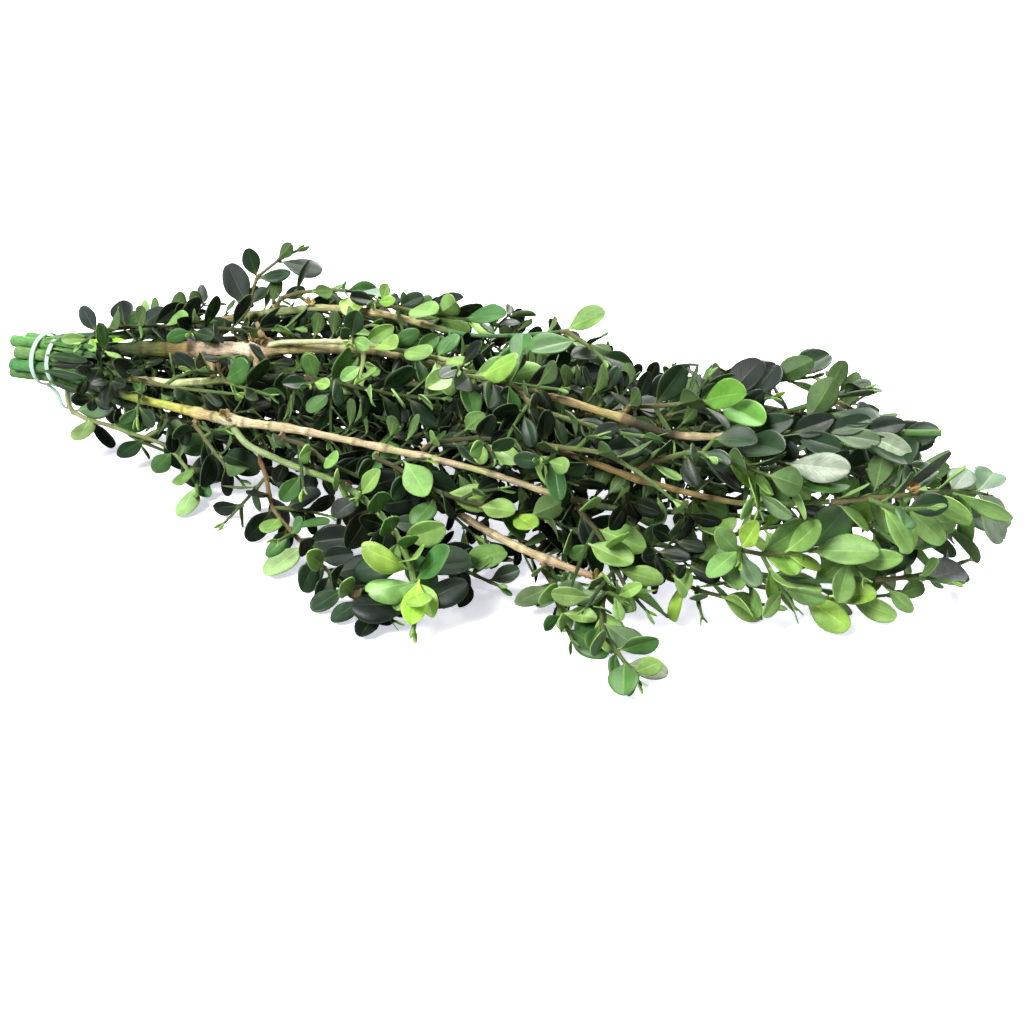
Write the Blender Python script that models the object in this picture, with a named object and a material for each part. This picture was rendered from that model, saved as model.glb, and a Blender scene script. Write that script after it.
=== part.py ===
"""A bunch of cut boxwood, lying on a table.

Twelve woody stems are held at their cut ends by a rubber band wound twice.
They fan out to the right and carry leafy sprays: four-angled twigs with pairs
of leaves, each pair turned a quarter from the last.

Run it with: blender --background --python part.py
The plan is worked out in millimetres and the meshes are made in metres.
X runs from the cut ends to the tips, Y from front to back, Z up.
"""
import math
import random
from collections import namedtuple

import bpy
from mathutils import Vector
from mathutils.bvhtree import BVHTree

# ---------------------------------------------------------------- dimensions, mm
MM = 0.001
GAP = 0.3                 # clearance between neighbouring pieces
TIE_HEIGHT = 39.0         # middle of the tied bundle above the table
CUT_X = -237.0            # longest cut end
TIE_EXIT_X = -208.0       # where the stems begin to fan out
OUTER_RING = 9.1          # distance of the nine outer stems from the bundle's middle
INNER_RING = 3.65         # distance of the three inner stems
STEM_RADIUS = 2.8         # at the tie
STEM_END_RADIUS = 1.5
STEM_SIDES = 6
STEM_STEP = 38.0          # length of one straight piece of a stem
TWIG_HALF = 1.0           # half the width of a twig at its foot
TWIG_END_HALF = 0.6
TWIG_STEP = 16.0
BAND_RADIUS = 12.8        # middle of the band around the bundle
BAND_WIDTH = 2.4
BAND_THICK = 0.9
BAND_TURNS_X = (-219.5, -210.5)
BAND_LOOP_DROP = 13.0     # how far the spare loop hangs below the bundle
LEAF_THICK = 0.5
LEAF_ASPECT = 0.62        # width over length
TIP_SIZES = (0.8, 0.95)   # the last leaf pair and the one before it, over a full leaf
WIDEST = 0.58             # where a leaf is widest, along its length
BLADE_MIDDLE = 0.56       # where the middle of its blade is
TIP_WIDTH = 0.46          # width of the blunt tip, over the widest part
NODE_HALF = 0.6           # half the height of the collar that carries a leaf pair
SPREAD = 48.0             # usual angle of a leaf off its twig, degrees
SWELL = 0.35              # how much a leaf or twig is swollen when its room is tested
LEAST_OUT = 0.3           # least share of a leaf's way that leads straight off its collar face
HEART_SHARES = (0.05, 0.3)     # points inside a leaf, over its length
HEART_DEEP = 0.12         # how far they lie below its upper face
HEART_SLACK = 0.02
FOOT_LIFT = 0.2           # the share of a leaf's lower half that lies by its own twig
BUD = 3.0                 # length of the pointed bud that ends a twig
TIP_REST = 3.5            # shortest piece of twig beyond the last leaf pair
STEP_SHRINK = 0.95        # each leaf pair is a little closer to the next
STEP_LEAST = 5.5
FORK_BARE = 6.0           # a side twig is bare for this length
FORK_LEAF = 0.88          # its leaves are smaller than those of the main twig
FORK_STEP = 0.9
LEAF_TRIES = 30
AIMED_TRIES = 24
AIMED_FACES = 3           # how many collar faces are tried for a leaf with a set place
WORST_FACE = 1.1
FORK_TRIES = 24
FORK_SHRINK = 0.97        # a side twig with no room is tried again a little shorter
FORK_LEAST = 14.0
FORK_RISE = 6.0           # how far its end may stand above its foot
FORK_BEND_RISE = 4.8      # and its middle
OPEN_NEAR = 2.4           # the clear room in front of wood that shows: from here
OPEN_FAR = 30.0           # to here
OPEN_HALF = (2.2, 1.4)    # half its width near the wood and far from it
TWIG_TRIES = 80
FORK_SEED, BLADE_SEED, LEAF_SEED = 1100, 302, 500

# ---------------------------------------------------------------- the plan by hand
# angle: the stem's place around the bundle's middle, 90 on top and 180 in front
# cut: how much shorter than the longest its cut end is
# route: points that the stem passes beyond the tie
Stem = namedtuple("Stem", "name ring angle cut route")
STEMS = (
    Stem("stem_01", OUTER_RING, 110, 1, (
        (-185, -2, 49), (-150, 1, 52), (-102, 7, 56), (-60, 10, 60), (-38, 4, 63), (0, -12, 66),
        (33, -28, 68), (64, -42, 70), (91, -48, 68), (116, -51, 65), (147, -52, 70),
        (180, -48, 74), (213, -46, 78))),
    Stem("stem_02", OUTER_RING, 150, 6, (
        (-185, -8, 40), (-148, -12, 40), (-109, -12, 46), (-74, -12, 52), (-24, -10, 55),
        (20, -24, 59), (66, -38, 60), (104, -38, 60), (140, -26, 66), (165, -12, 72))),
    Stem("stem_03", OUTER_RING, 190, 3, (
        (-185, -13, 34), (-159, -20, 34), (-134, -28, 36), (-90, -43, 40), (-51, -52, 44),
        (2, -63, 46), (39, -69, 46), (75, -73, 42), (100, -68, 38), (126, -52, 34),
        (142, -45, 32), (164, -45, 34))),
    Stem("stem_04", OUTER_RING, 230, 0, (
        (-185, -9, 28), (-150, -16, 26), (-100, -28, 24), (-45, -43, 22), (17, -57, 22),
        (32, -63, 20), (49, -72, 19), (70, -79, 17), (94, -84, 15))),
    Stem("stem_05", OUTER_RING, 270, 8, (
        (-185, -1, 24), (-150, -4, 16), (-100, -10, 12), (-40, -24, 11), (20, -38, 12),
        (60, -52, 16), (90, -66, 22), (116, -73, 28), (136, -75, 24), (170, -68, 20),
        (196, -58, 20))),
    Stem("stem_06", INNER_RING, 90, 4, (
        (-185, 1, 42), (-150, 3, 42), (-100, 4, 46), (-50, 0, 48), (0, -22, 48),
        (40, -48, 52), (72, -64, 57), (90, -68, 55), (110, -72, 53), (146, -72, 50),
        (178, -68, 54))),
    Stem("stem_07", INNER_RING, 210, 2, (
        (-185, -4, 34), (-150, -8, 33), (-100, -14, 34), (-50, -24, 34), (0, -34, 33),
        (60, -42, 34), (110, -32, 40), (160, -20, 46))),
    Stem("stem_08", OUTER_RING, 70, 5, (
        (-185, 8, 52), (-150, 20, 58), (-115, 28, 65), (-97, 28, 69), (-80, 29, 72),
        (-56, 28, 73), (-36, 22, 74), (1, 8, 75), (25, 8, 77), (44, 14, 79))),
    Stem("stem_09", OUTER_RING, 30, 2, (
        (-185, 12, 45), (-150, 24, 49), (-90, 38, 52), (-30, 42, 55), (30, 36, 55),
        (90, 22, 56), (150, 10, 57))),
    Stem("stem_10", OUTER_RING, 350, 7, (
        (-185, 13, 36), (-150, 26, 36), (-90, 42, 33), (-30, 48, 30), (40, 47, 27),
        (100, 40, 27), (150, 28, 30))),
    Stem("stem_11", OUTER_RING, 310, 3, (
        (-185, 9, 26), (-150, 16, 20), (-90, 28, 15), (-20, 32, 13), (60, 28, 14),
        (120, 14, 17), (170, 0, 20))),
    Stem("stem_12", INNER_RING, 330, 6, (
        (-185, 5, 36), (-150, 12, 34), (-90, 20, 35), (-30, 18, 36), (30, 12, 38),
        (90, 4, 42), (130, 0, 46))),
)

# stem, base: the stem that carries the spray, and the X at which it leaves it
# bare: length without leaves; leaf: length of a full leaf; step: from pair to pair
# roll: turn of the first leaf pair about the twig, in degrees
# forks: side twigs, each with its leaf pair, the side of it (0 or 1) and its length
Spray = namedtuple("Spray", "name stem base route bare leaf step roll forks")
TIP = None                # a spray that carries on from the end of its stem
SPRAYS = (
    # the loose shoot that stands up over the thin end
    Spray("stem_08_spray_3", 8, -119, ((-118, 31, 78), (-115, 34, 84), (-109, 40, 89), (-102, 46, 93)),
          3, 18, 14, 155, ()),
    # small leaves beside the tie
    Spray("stem_08_spray_1", 8, -192, (
        (-184, 4, 57), (-168, 6, 60), (-150, 7, 62), (-134, 10, 65)), 2, 17, 9, 0, ((0, 1, 12),)),
    # the twig that hooks down from the tie
    Spray("stem_05_spray_1", 5, -208, (
        (-208, -4, 23), (-203, -9, 19), (-193, -15, 17), (-176, -15, 15), (-163, -18, 14),
        (-140, -23, 13), (-120, -37, 10), (-108, -48, 8), (-104, -54, 7)),
          18, 18, 13, 60, ((3, 0, 20), (4, 1, 18))),
    # lower left, low on the table
    Spray("stem_04_spray_1", 4, -80, (
        (-73, -46, 20), (-66, -56, 15), (-57, -67, 11), (-32, -88, 9), (-9, -107, 8),
        (12, -121, 7), (26, -128, 6)), 8, 18, 11, 10, ((1, 0, 26), (3, 1, 26), (6, 0, 20))),
    # the rosette of broad bright leaves at the front
    Spray("stem_03_spray_2", 3, -88, (
        (-78, -52, 34), (-52, -60, 31), (-22, -68, 29), (8, -90, 27), (26, -110, 22),
        (35, -124, 14), (38, -133, 8)), 60, 20, 9.5, 35, ((1, 0, 22), (3, 1, 20))),
    # front sprays on the table
    Spray("stem_04_tip", 4, TIP, (
        (102, -101, 13), (106, -114, 10), (117, -126, 7), (127, -138, 6)),
          4, 17, 9.5, 40, ((1, 0, 26),)),
    Spray("stem_04_spray_3", 4, 72, ((78, -90, 12), (86, -104, 9), (96, -120, 7)),
          4, 17, 9.5, 10, ((0, 1, 22),)),
    Spray("stem_04_spray_2", 4, -30, (
        (-12, -58, 17), (12, -76, 14), (34, -86, 11), (56, -93, 9)), 8, 17, 11, 30,
        ((1, 0, 28), (3, 1, 30), (5, 0, 24))),
    # right-hand end
    Spray("stem_06_tip", 6, TIP, ((202, -60, 57), (216, -44, 54), (228, -26, 48), (231, -20, 45)),
          3, 22.5, 11, 0, ((1, 0, 26), (1, 1, 26), (2, 0, 20))),
    Spray("stem_03_tip", 3, TIP, ((184, -47, 36), (206, -40, 37), (222, -24, 34), (229, -18, 31)),
          3, 24.5, 12, 60, ((1, 1, 28), (2, 0, 24))),
    Spray("stem_05_tip", 5, TIP, ((208, -49, 19), (219, -36, 18), (228, -22, 17)),
          3, 21.5, 11, 20, ((0, 0, 22), (1, 1, 22))),
    Spray("stem_01_spray_7", 1, 163, (
        (170, -38, 78), (182, -33, 76), (194, -40, 70), (204, -48, 64)),
          3, 23.5, 11, 10, ((1, 0, 22),)),
    Spray("stem_02_tip", 2, TIP, ((174, -12, 70), (184, -10, 68), (196, -8, 63)),
          3, 20, 10, 0, ((0, 1, 24),)),
    # upper right
    Spray("stem_01_spray_5", 1, 92, (
        (100, -46, 73), (118, -44, 76), (133, -46, 78), (145, -50, 77)),
          4, 20, 10, 0, ((1, 1, 26), (2, 0, 20))),
    Spray("stem_02_spray_5", 2, 104, (
        (114, -32, 68), (126, -22, 74), (142, -12, 77), (157, 0, 77)),
          6, 20, 10, 30, ((1, 0, 26), (2, 1, 24))),
    Spray("stem_01_spray_6", 1, 138, ((148, -62, 67), (162, -64, 64), (176, -62, 61)),
          4, 22.5, 11, 0, ((0, 1, 26), (1, 0, 22))),
    Spray("stem_06_spray_2", 6, 104, (
        (114, -72, 63), (130, -70, 67), (150, -72, 64), (166, -70, 59)),
          10, 19, 10, 45, ((1, 0, 26), (2, 0, 22))),
    Spray("stem_05_spray_3", 5, 150, (
        (158, -71, 16), (172, -67, 13), (188, -57, 10), (200, -48, 9)),
          4, 22.5, 11, 10, ((0, 1, 26), (2, 1, 24))),
    Spray("stem_05_spray_2", 5, 112, (
        (120, -78, 20), (132, -80, 15), (148, -77, 12), (160, -74, 10)),
          4, 20, 11, 70, ((1, 0, 24), (2, 0, 20))),
    Spray("stem_03_spray_7", 3, 128, (
        (136, -62, 31), (150, -72, 30), (166, -70, 32), (182, -62, 34)),
          5, 21.5, 10.5, 30, ((1, 1, 28), (2, 0, 26), (3, 0, 22))),
    Spray("stem_03_spray_6", 3, 82, (
        (90, -80, 36), (100, -88, 29), (108, -96, 21), (118, -100, 14)),
          5, 20, 10, 0, ((1, 0, 26), (2, 1, 24), (3, 0, 20))),
    # middle, along the front stem
    Spray("stem_03_spray_1", 3, -112, ((-104, -44, 30), (-94, -48, 22), (-84, -50, 15)),
          4, 18, 9, 20, ((0, 1, 18), (1, 1, 16))),
    Spray("stem_03_spray_3", 3, -58, (
        (-44, -60, 41), (-28, -68, 38), (-12, -68, 34), (4, -64, 31)),
          5, 19, 9.5, 10, ((1, 0, 24), (2, 1, 24))),
    Spray("stem_03_spray_4", 3, -8, (
        (4, -70, 42), (18, -76, 39), (35, -78, 36), (54, -76, 33), (74, -74, 31), (90, -78, 27)),
          4, 20, 10, 40, ((1, 1, 30), (3, 0, 30), (5, 1, 28))),
    Spray("stem_03_spray_5", 3, 12, (
        (24, -62, 54), (40, -62, 57), (60, -66, 56), (78, -76, 50)),
          6, 19, 10, 0, ((1, 0, 30), (2, 1, 28))),
    Spray("stem_06_spray_1", 6, 66, (
        (76, -72, 62), (92, -76, 64), (108, -80, 60), (122, -82, 52)),
          4, 19, 10, 20, ((1, 0, 26), (2, 0, 26))),
    # middle, along the upper stems
    Spray("stem_01_spray_2", 1, -98, (
        (-79, 4, 63), (-54, -2, 68), (-36, -7, 70), (-11, -14, 71), (12, -20, 72)),
          36, 18, 9, 10, ((1, 1, 26), (2, 0, 24), (3, 0, 24))),
    Spray("stem_01_spray_1", 1, -130, (
        (-118, -6, 52), (-108, -18, 48), (-92, -24, 48), (-78, -28, 48)),
          6, 18, 9, 30, ((1, 1, 22), (2, 0, 18))),
    Spray("stem_02_spray_1", 2, -160, (
        (-150, -20, 43), (-130, -27, 45), (-110, -31, 47), (-92, -34, 49)),
          4, 18, 9, 30, ((1, 0, 18), (3, 1, 20))),
    Spray("stem_02_spray_2", 2, -66, (
        (-50, -24, 57), (-30, -32, 59), (-10, -34, 59), (8, -34, 60)),
          4, 18, 9, 0, ((1, 0, 26), (2, 1, 26), (4, 1, 22))),
    Spray("stem_01_spray_3", 1, 6, ((18, -34, 72), (34, -46, 76), (50, -50, 77), (66, -52, 78)),
          4, 19, 9.5, 20, ((1, 1, 28), (2, 0, 26))),
    Spray("stem_01_spray_4", 1, 48, (
        (60, -56, 70), (76, -62, 70), (94, -66, 69), (110, -66, 69)),
          4, 19, 10, 50, ((1, 0, 26), (2, 1, 24))),
    Spray("stem_02_spray_3", 2, 10, ((24, -12, 64), (44, -10, 66), (64, -18, 66), (82, -26, 64)),
          4, 20, 10, 10, ((1, 1, 30), (2, 1, 28))),
    Spray("stem_02_spray_4", 2, 66, ((78, -30, 62), (94, -20, 64), (110, -14, 64), (126, -8, 62)),
          4, 20, 10, 10, ((1, 0, 30), (2, 1, 28))),
    # the top, from the back stem
    Spray("stem_08_spray_2", 8, -152, ((-142, 12, 63), (-124, 8, 65), (-104, 8, 67), (-86, 12, 68)),
          4, 18, 9, 0, ((1, 0, 18), (3, 1, 18))),
    Spray("stem_08_spray_4", 8, -104, ((-92, 30, 78), (-74, 34, 80), (-56, 33, 80)),
          6, 17, 9, 0, ((1, 1, 24), (2, 0, 20))),
    Spray("stem_08_spray_5", 8, -54, ((-40, 22, 79), (-24, 16, 80), (-8, 14, 80), (10, 14, 80)),
          4, 18, 9, 20, ((1, 0, 24), (2, 1, 20))),
    Spray("stem_08_tip", 8, TIP, ((54, 10, 78), (62, 4, 77), (70, -4, 75)),
          3, 20, 9, 0, ((1, 0, 20),)),
    # the inside and the back
    Spray("stem_07_tip", 7, TIP, ((176, -18, 48), (194, -14, 47), (208, -8, 44)),
          3, 21.5, 11, 0, ((1, 1, 26), (2, 0, 22))),
    Spray("stem_12_tip", 12, TIP, ((146, 2, 47), (164, 6, 46), (182, 12, 42), (198, 16, 36)),
          3, 20, 11, 30, ((1, 1, 28), (2, 1, 26))),
    Spray("stem_09_spray_1", 9, -124, (
        (-106, 46, 56), (-82, 52, 60), (-54, 54, 62), (-28, 50, 63)),
          6, 17, 10, 30, ((1, 1, 26), (3, 0, 26), (4, 1, 22))),
    Spray("stem_09_spray_2", 9, 20, ((38, 38, 52), (58, 34, 49), (80, 30, 45), (98, 26, 43)),
          6, 19, 11, 10, ((1, 1, 30), (2, 0, 28))),
    Spray("stem_09_tip", 9, TIP, ((164, 10, 56), (180, 10, 52), (196, 14, 46)),
          3, 20, 11, 0, ((1, 0, 26),)),
    Spray("stem_10_spray_1", 10, -112, (
        (-94, 50, 30), (-66, 62, 26), (-38, 68, 20), (-8, 70, 14), (18, 70, 11)),
          8, 19, 12, 0, ((1, 0, 28), (3, 1, 28), (5, 0, 24))),
    Spray("stem_10_spray_2", 10, 10, ((28, 56, 31), (52, 60, 29), (76, 60, 24), (98, 56, 17)),
          6, 20, 12, 0, ((1, 0, 28), (2, 1, 28), (4, 0, 24))),
    Spray("stem_10_tip", 10, TIP, ((166, 28, 30), (186, 26, 28), (206, 26, 24), (220, 24, 22)),
          3, 21.5, 12, 20, ((1, 1, 28), (2, 1, 26))),
    Spray("stem_11_tip", 11, TIP, ((186, 4, 18), (204, 10, 14), (218, 16, 11)),
          3, 20, 12, 0, ((1, 1, 24),)),
)

# the middles of the blades that show best, by spray
BLADES = {
    "stem_08_spray_3": ((-125, 27, 81), (-118, 32, 89), (-107.5, 36, 84), (-91, 42, 91)),
    "stem_08_spray_1": ((-195, 3, 62), (-182, 13, 64), (-175, 16, 64), (-164, 14, 64), (-145, 5, 66)),
    "stem_08_spray_4": ((-47, 25, 84), (-57, 12, 76)),
    "stem_08_spray_5": ((-18, 10, 82), (-11, 18, 84), (12, 13, 82)),
    "stem_08_tip": ((57, 15, 85), (63, -9, 78), (39, 13, 83), (44, -5, 78)),
    "stem_02_spray_3": ((33, -4, 76),),
    "stem_01_spray_2": ((-25, -15, 74), (-9, -19, 74), (1, -9, 76), (12, -23, 72)),
    "stem_02_spray_2": ((-39, -24, 58), (-49, -38, 52), (4, -24, 62)),
    "stem_01_spray_1": ((-96, -26, 50),),
    "stem_01_spray_3": ((43, -49, 80),),
    "stem_03_spray_2": (
        (39, -131, 19), (21, -123, 30), (30, -119, 28), (40, -119, 28), (26, -129, 21),
        (45, -120, 18), (22, -131, 14), (35, -134, 9), (44, -106, 26)),
    "stem_03_spray_3": ((-26, -71, 42), (-7, -59, 40)),
    "stem_03_spray_4": ((17, -78, 42), (39, -78, 38), (52, -80, 36), (64, -83, 34), (22, -86, 32)),
    "stem_03_spray_5": ((68, -73, 52),),
    "stem_04_spray_1": (
        (-65, -66, 18), (-43, -65, 18), (-51, -81, 12), (-31, -84, 14), (-13, -75, 20),
        (-36, -101, 6), (-22, -100, 6), (0, -104, 12), (-5, -121, 5), (6, -127, 5), (19, -132, 5),
        (31, -135, 5), (33, -127, 8)),
    "stem_03_spray_1": ((-86, -44, 18), (-99, -39, 30)),
    "stem_05_spray_1": (
        (-182, -28, 14), (-180, -12, 20), (-156, -29, 12), (-127, -31, 22), (-105, -61, 6),
        (-111, -46, 10), (-98, -41, 14), (-87, -58, 4)),
    "stem_04_tip": (
        (128, -127, 5), (109, -113, 8), (115, -112, 7), (125, -138, 4), (97, -102, 16),
        (103, -94, 16)),
    "stem_04_spray_3": ((72, -98, 10), (77, -96, 8), (95, -106, 10), (103, -128, 4), (102, -116, 8)),
    "stem_04_spray_2": ((49, -75, 14),),
    "stem_03_spray_6": ((102, -92, 30), (121, -88, 12)),
    "stem_05_spray_2": ((134, -82, 14), (152, -78, 8)),
    "stem_01_spray_5": ((132, -51, 82), (143, -55, 79)),
    "stem_01_spray_6": ((152, -66, 70), (173, -66, 66)),
    "stem_01_spray_7": ((177, -14, 80), (181, -44, 78), (200, -45, 76), (203, -50, 71)),
    "stem_02_spray_5": ((134, -20, 82), (143, -15, 82), (158, 1, 81)),
    "stem_06_spray_2": ((143, -69, 74), (184, -64, 62)),
    "stem_06_tip": ((206, -49, 60), (222, -28, 54), (234, -14, 48), (237, -20, 32)),
    "stem_03_tip": ((207, -53, 44), (233, -14, 36)),
    "stem_03_spray_7": ((139, -73, 38), (161, -70, 30), (150, -75, 28), (181, -52, 42), (189, -63, 38)),
    "stem_05_tip": ((203, -53, 26), (222, -42, 20)),
    "stem_05_spray_3": ((188, -62, 14), (168, -69, 16), (179, -56, 20), (181, -69, 6)),
}
TOWARD_VIEWER = Vector((0.1, -0.5, 0.86))     # the way that those blades look

# the wood that shows at the front: from X to X on a stem, or a length from a spray's foot
OPEN_STEMS = {
    "stem_01": ((-176, -30), (62, 140), (192, 214)), "stem_02": ((-150, -108),),
    "stem_03": ((-165, 58),), "stem_04": ((28, 94),), "stem_06": ((86, 146),),
    "stem_08": ((-70, -8),),
}
OPEN_TWIGS = {"stem_01_spray_2": 44, "stem_03_spray_2": 64, "stem_05_spray_1": 74,
              "stem_04_spray_1": 24}
VIEWER = Vector((243.0, -573.0, 281.0))

# the bunch's outline as the viewer sees it against the upright plane Y = 0: X and height
SKYLINE = ((-240, 58), (-205, 62), (-190, 74), (-165, 80), (-140, 82), (-125, 96), (-80, 111),
           (-62, 108), (-58, 92), (-38, 97), (-12, 94), (20, 93), (46, 94), (66, 96), (71, 84),
           (75, 73), (94, 75), (125, 80), (152, 86), (167, 87), (180, 80), (188, 66), (212, 62),
           (218, 50), (240, 48))
FOOTLINE = ((-240, 28), (-216, 26), (-208, 4), (-200, -9), (-172, -9), (-155, -34),
            (-118, -44), (-92, -62), (-72, -80), (-25, -83), (2, -58), (10, -37), (25, -37),
            (38, -58), (58, -87), (93, -93), (106, -70), (112, -46), (122, -38), (176, -38),
            (203, -26), (223, -9), (240, 12))


# ---------------------------------------------------------------- curves and rings
def smooth(points, step, ghost=None):
    """Points about step apart on a Catmull-Rom curve through the given points."""
    pts = [Vector(p) for p in points]
    first = ghost or pts[0] * 2 - pts[1]
    pts = [first] + pts + [pts[-1] * 2 - pts[-2]]
    out = []
    for a, b, c, d in zip(pts, pts[1:], pts[2:], pts[3:]):
        count = max(1, round((c - b).length / step))
        for k in range(count):
            t = k / count
            out.append(((b * 2) + (c - a) * t + (a * 2 - b * 5 + c * 4 - d) * t * t
                        + (b * 3 - a - c * 3 + d) * t ** 3) / 2)
    return out + [pts[-2]]


class Path:
    """A line of points, read by the length along it."""

    def __init__(self, points):
        self.points = points
        self.marks = [0.0]
        for a, b in zip(points, points[1:]):
            self.marks.append(self.marks[-1] + (b - a).length)
        self.length = self.marks[-1]

    def point(self, s):
        s = min(max(s, 0.0), self.length)
        for k, mark in enumerate(self.marks[1:]):
            if s <= mark:
                a, b = self.points[k], self.points[k + 1]
                return a.lerp(b, (s - self.marks[k]) / (mark - self.marks[k]))
        return self.points[-1].copy()

    def tangent(self, s, reach=2.0):
        return (self.point(s + reach) - self.point(s - reach)).normalized()

    def length_at_x(self, x):
        for k, (a, b) in enumerate(zip(self.points, self.points[1:])):
            if a.x <= x <= b.x:
                return self.marks[k] + (b - a).length * (x - a.x) / (b.x - a.x)
        return self.length


def across(vector, tangent):
    """The part of a vector that is square to the tangent, as a unit vector."""
    return (vector - tangent * vector.dot(tangent)).normalized()


Ring = namedtuple("Ring", "middle u v tangent half")


def square(ring, grow=0.0):
    """The four corners of a twig's section, turning from u towards v."""
    half = ring.half + grow
    signs = ((1, 1), (-1, 1), (-1, -1), (1, -1))
    return [ring.middle + (ring.u * a + ring.v * b) * half for a, b in signs]


def sides(ring):
    """The way each of the four faces of a twig looks."""
    return (ring.v, -ring.u, -ring.v, ring.u)


# ---------------------------------------------------------------- keeping pieces apart
CELL = 24.0


class Space:
    """The solids placed so far, and whether a new one is clear of them."""

    def __init__(self):
        self.cells = {}

    @staticmethod
    def box(points):
        low = [min(p[k] for p in points) for k in range(3)]
        high = [max(p[k] for p in points) for k in range(3)]
        return low, high

    @staticmethod
    def keys(low, high):
        spans = [range(int(low[k] // CELL), int(high[k] // CELL) + 1) for k in range(3)]
        return [(i, j, k) for i in spans[0] for j in spans[1] for k in spans[2]]

    def add(self, points, faces, owner):
        low, high = self.box(points)
        item = (low, high, BVHTree.FromPolygons(points, faces), owner)
        for key in self.keys(low, high):
            self.cells.setdefault(key, []).append(item)

    def is_clear(self, points, faces, owner=None):
        """Whether a solid touches nothing, apart from what its own owner holds."""
        low, high = self.box(points)
        tree = None
        seen = set()
        for key in self.keys(low, high):
            for item in self.cells.get(key, ()):
                if id(item) in seen or item[3] == owner:
                    continue
                seen.add(id(item))
                if any(item[0][k] > high[k] or item[1][k] < low[k] for k in range(3)):
                    continue
                tree = tree or BVHTree.FromPolygons(points, faces)
                if tree.overlap(item[2]):
                    return False
        return True


def fan(faces):
    """Each face cut into triangles from its first corner."""
    return [(f[0], f[k], f[k + 1]) for f in faces for k in range(1, len(f) - 1)]


def tube_faces(count):
    """The faces between two rings of count corners, and the caps."""
    walls = [(k, (k + 1) % count, (k + 1) % count + count, k + count) for k in range(count)]
    return fan(walls + [tuple(reversed(range(count))), tuple(range(count, 2 * count))])


# ---------------------------------------------------------------- stems
def stem_path(stem):
    """Straight through the tie, then fanned out along the stem's own route."""
    turn = math.radians(stem.angle)
    y = stem.ring * math.cos(turn)
    z = TIE_HEIGHT + stem.ring * math.sin(turn)
    leave = Vector((TIE_EXIT_X, y, z))
    fanned = smooth((leave,) + stem.route, STEM_STEP, ghost=leave - Vector((STEM_STEP, 0, 0)))
    return Path([Vector((CUT_X + stem.cut, y, z))] + fanned)


def stem_rings(path):
    """The six-sided sections of a stem, tapering to its far end."""
    side = Vector((0, 0, 1))
    rings = []
    for k, point in enumerate(path.points):
        ahead = path.points[min(k + 1, len(path.points) - 1)]
        behind = path.points[max(k - 1, 0)]
        tangent = (ahead - behind).normalized()
        side = across(side, tangent)
        along = max(0.0, path.marks[k] - path.marks[1]) / path.length
        radius = STEM_RADIUS + (STEM_END_RADIUS - STEM_RADIUS) * along
        rings.append(Ring(point, side, tangent.cross(side), tangent, radius))
    return rings


def hexagon(ring, grow=0.0):
    turns = [math.tau * k / STEM_SIDES for k in range(STEM_SIDES)]
    reach = ring.half + grow
    return [ring.middle + (ring.u * math.cos(t) + ring.v * math.sin(t)) * reach for t in turns]


# ---------------------------------------------------------------- twigs and leaves
# foot: the four corners of the collar face that the leaf grows from, under its keel first
# turn: how many corners further along the collar face that first one is
Leaf = namedtuple("Leaf", "foot turn base axis normal length width bend")


class Twig:
    """A twig's sections, the collars among them, and what grows from each collar."""

    def __init__(self, rings, collars, leaf, foot=None):
        self.rings = rings
        self.collars = collars      # index of the lower ring of each collar
        self.leaf = leaf
        self.foot = foot            # the collar face that a side twig grows from
        self.growth = {}            # (collar, side): Leaf or Twig

    def quad(self, collar, side):
        low = square(self.rings[self.collars[collar]])
        high = square(self.rings[self.collars[collar] + 1])
        after = (side + 1) % 4
        return (low[side], low[after], high[after], high[side])

    def lower_end(self):
        return 1 if self.foot else 0

    def blocks(self, grow=0.0):
        """Each straight piece of the twig as a closed box."""
        ends = [square(r, grow) for r in self.rings]
        if self.foot:
            ends[0] = list(self.foot[1:] + self.foot[:1])
        last = self.rings[-1]
        tip = last.middle + last.tangent * BUD
        found = [a + b for a, b in zip(ends, ends[1:])]
        return found + [ends[-1] + [tip + (c - last.middle) * 0.1 for c in ends[-1]]]


def collar_marks(length, bare, step):
    """Where the leaf pairs sit, closer together towards the tip."""
    marks = []
    s = bare
    while s < length - TIP_REST:
        marks.append(s)
        s += step
        step = max(step * STEP_SHRINK, STEP_LEAST)
    return marks


def plan_twig(path, first_tangent, side, bare, leaf, step, foot=None):
    """Sections along a path: plain ones where it is bare, two for each leaf pair."""
    marks = collar_marks(path.length, bare, step)
    stations = [(0.0, False)]
    for mark in marks:
        start = stations[-1][0]
        extra = int((mark - NODE_HALF - start) // TWIG_STEP)
        gap = (mark - NODE_HALF - start) / (extra + 1)
        stations += [(start + gap * (k + 1), False) for k in range(extra)]
        stations += [(mark - NODE_HALF, True), (mark + NODE_HALF, False)]
    stations.append((max(path.length, stations[-1][0] + 2.0), False))
    rings, collars = [], []
    for s, is_collar in stations:
        tangent = path.tangent(s) if rings else first_tangent
        side = across(side, tangent)
        half = TWIG_HALF + (TWIG_END_HALF - TWIG_HALF) * s / (path.length + 1.0)
        if is_collar:
            collars.append(len(rings))
        rings.append(Ring(path.point(s), side, tangent.cross(side), tangent, half))
    return Twig(rings, collars, leaf, foot)


def twig_is_clear(twig, space, owner):
    """Whether a twig has room; its first piece starts close to what carries it."""
    rest = twig.blocks(SWELL)[1:]
    if not space.is_clear(twig.blocks()[0], tube_faces(4), owner):
        return False
    for points in rest:
        if min(p.z for p in points) < 1.0 or not space.is_clear(points, tube_faces(4)):
            return False
    return True


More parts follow.
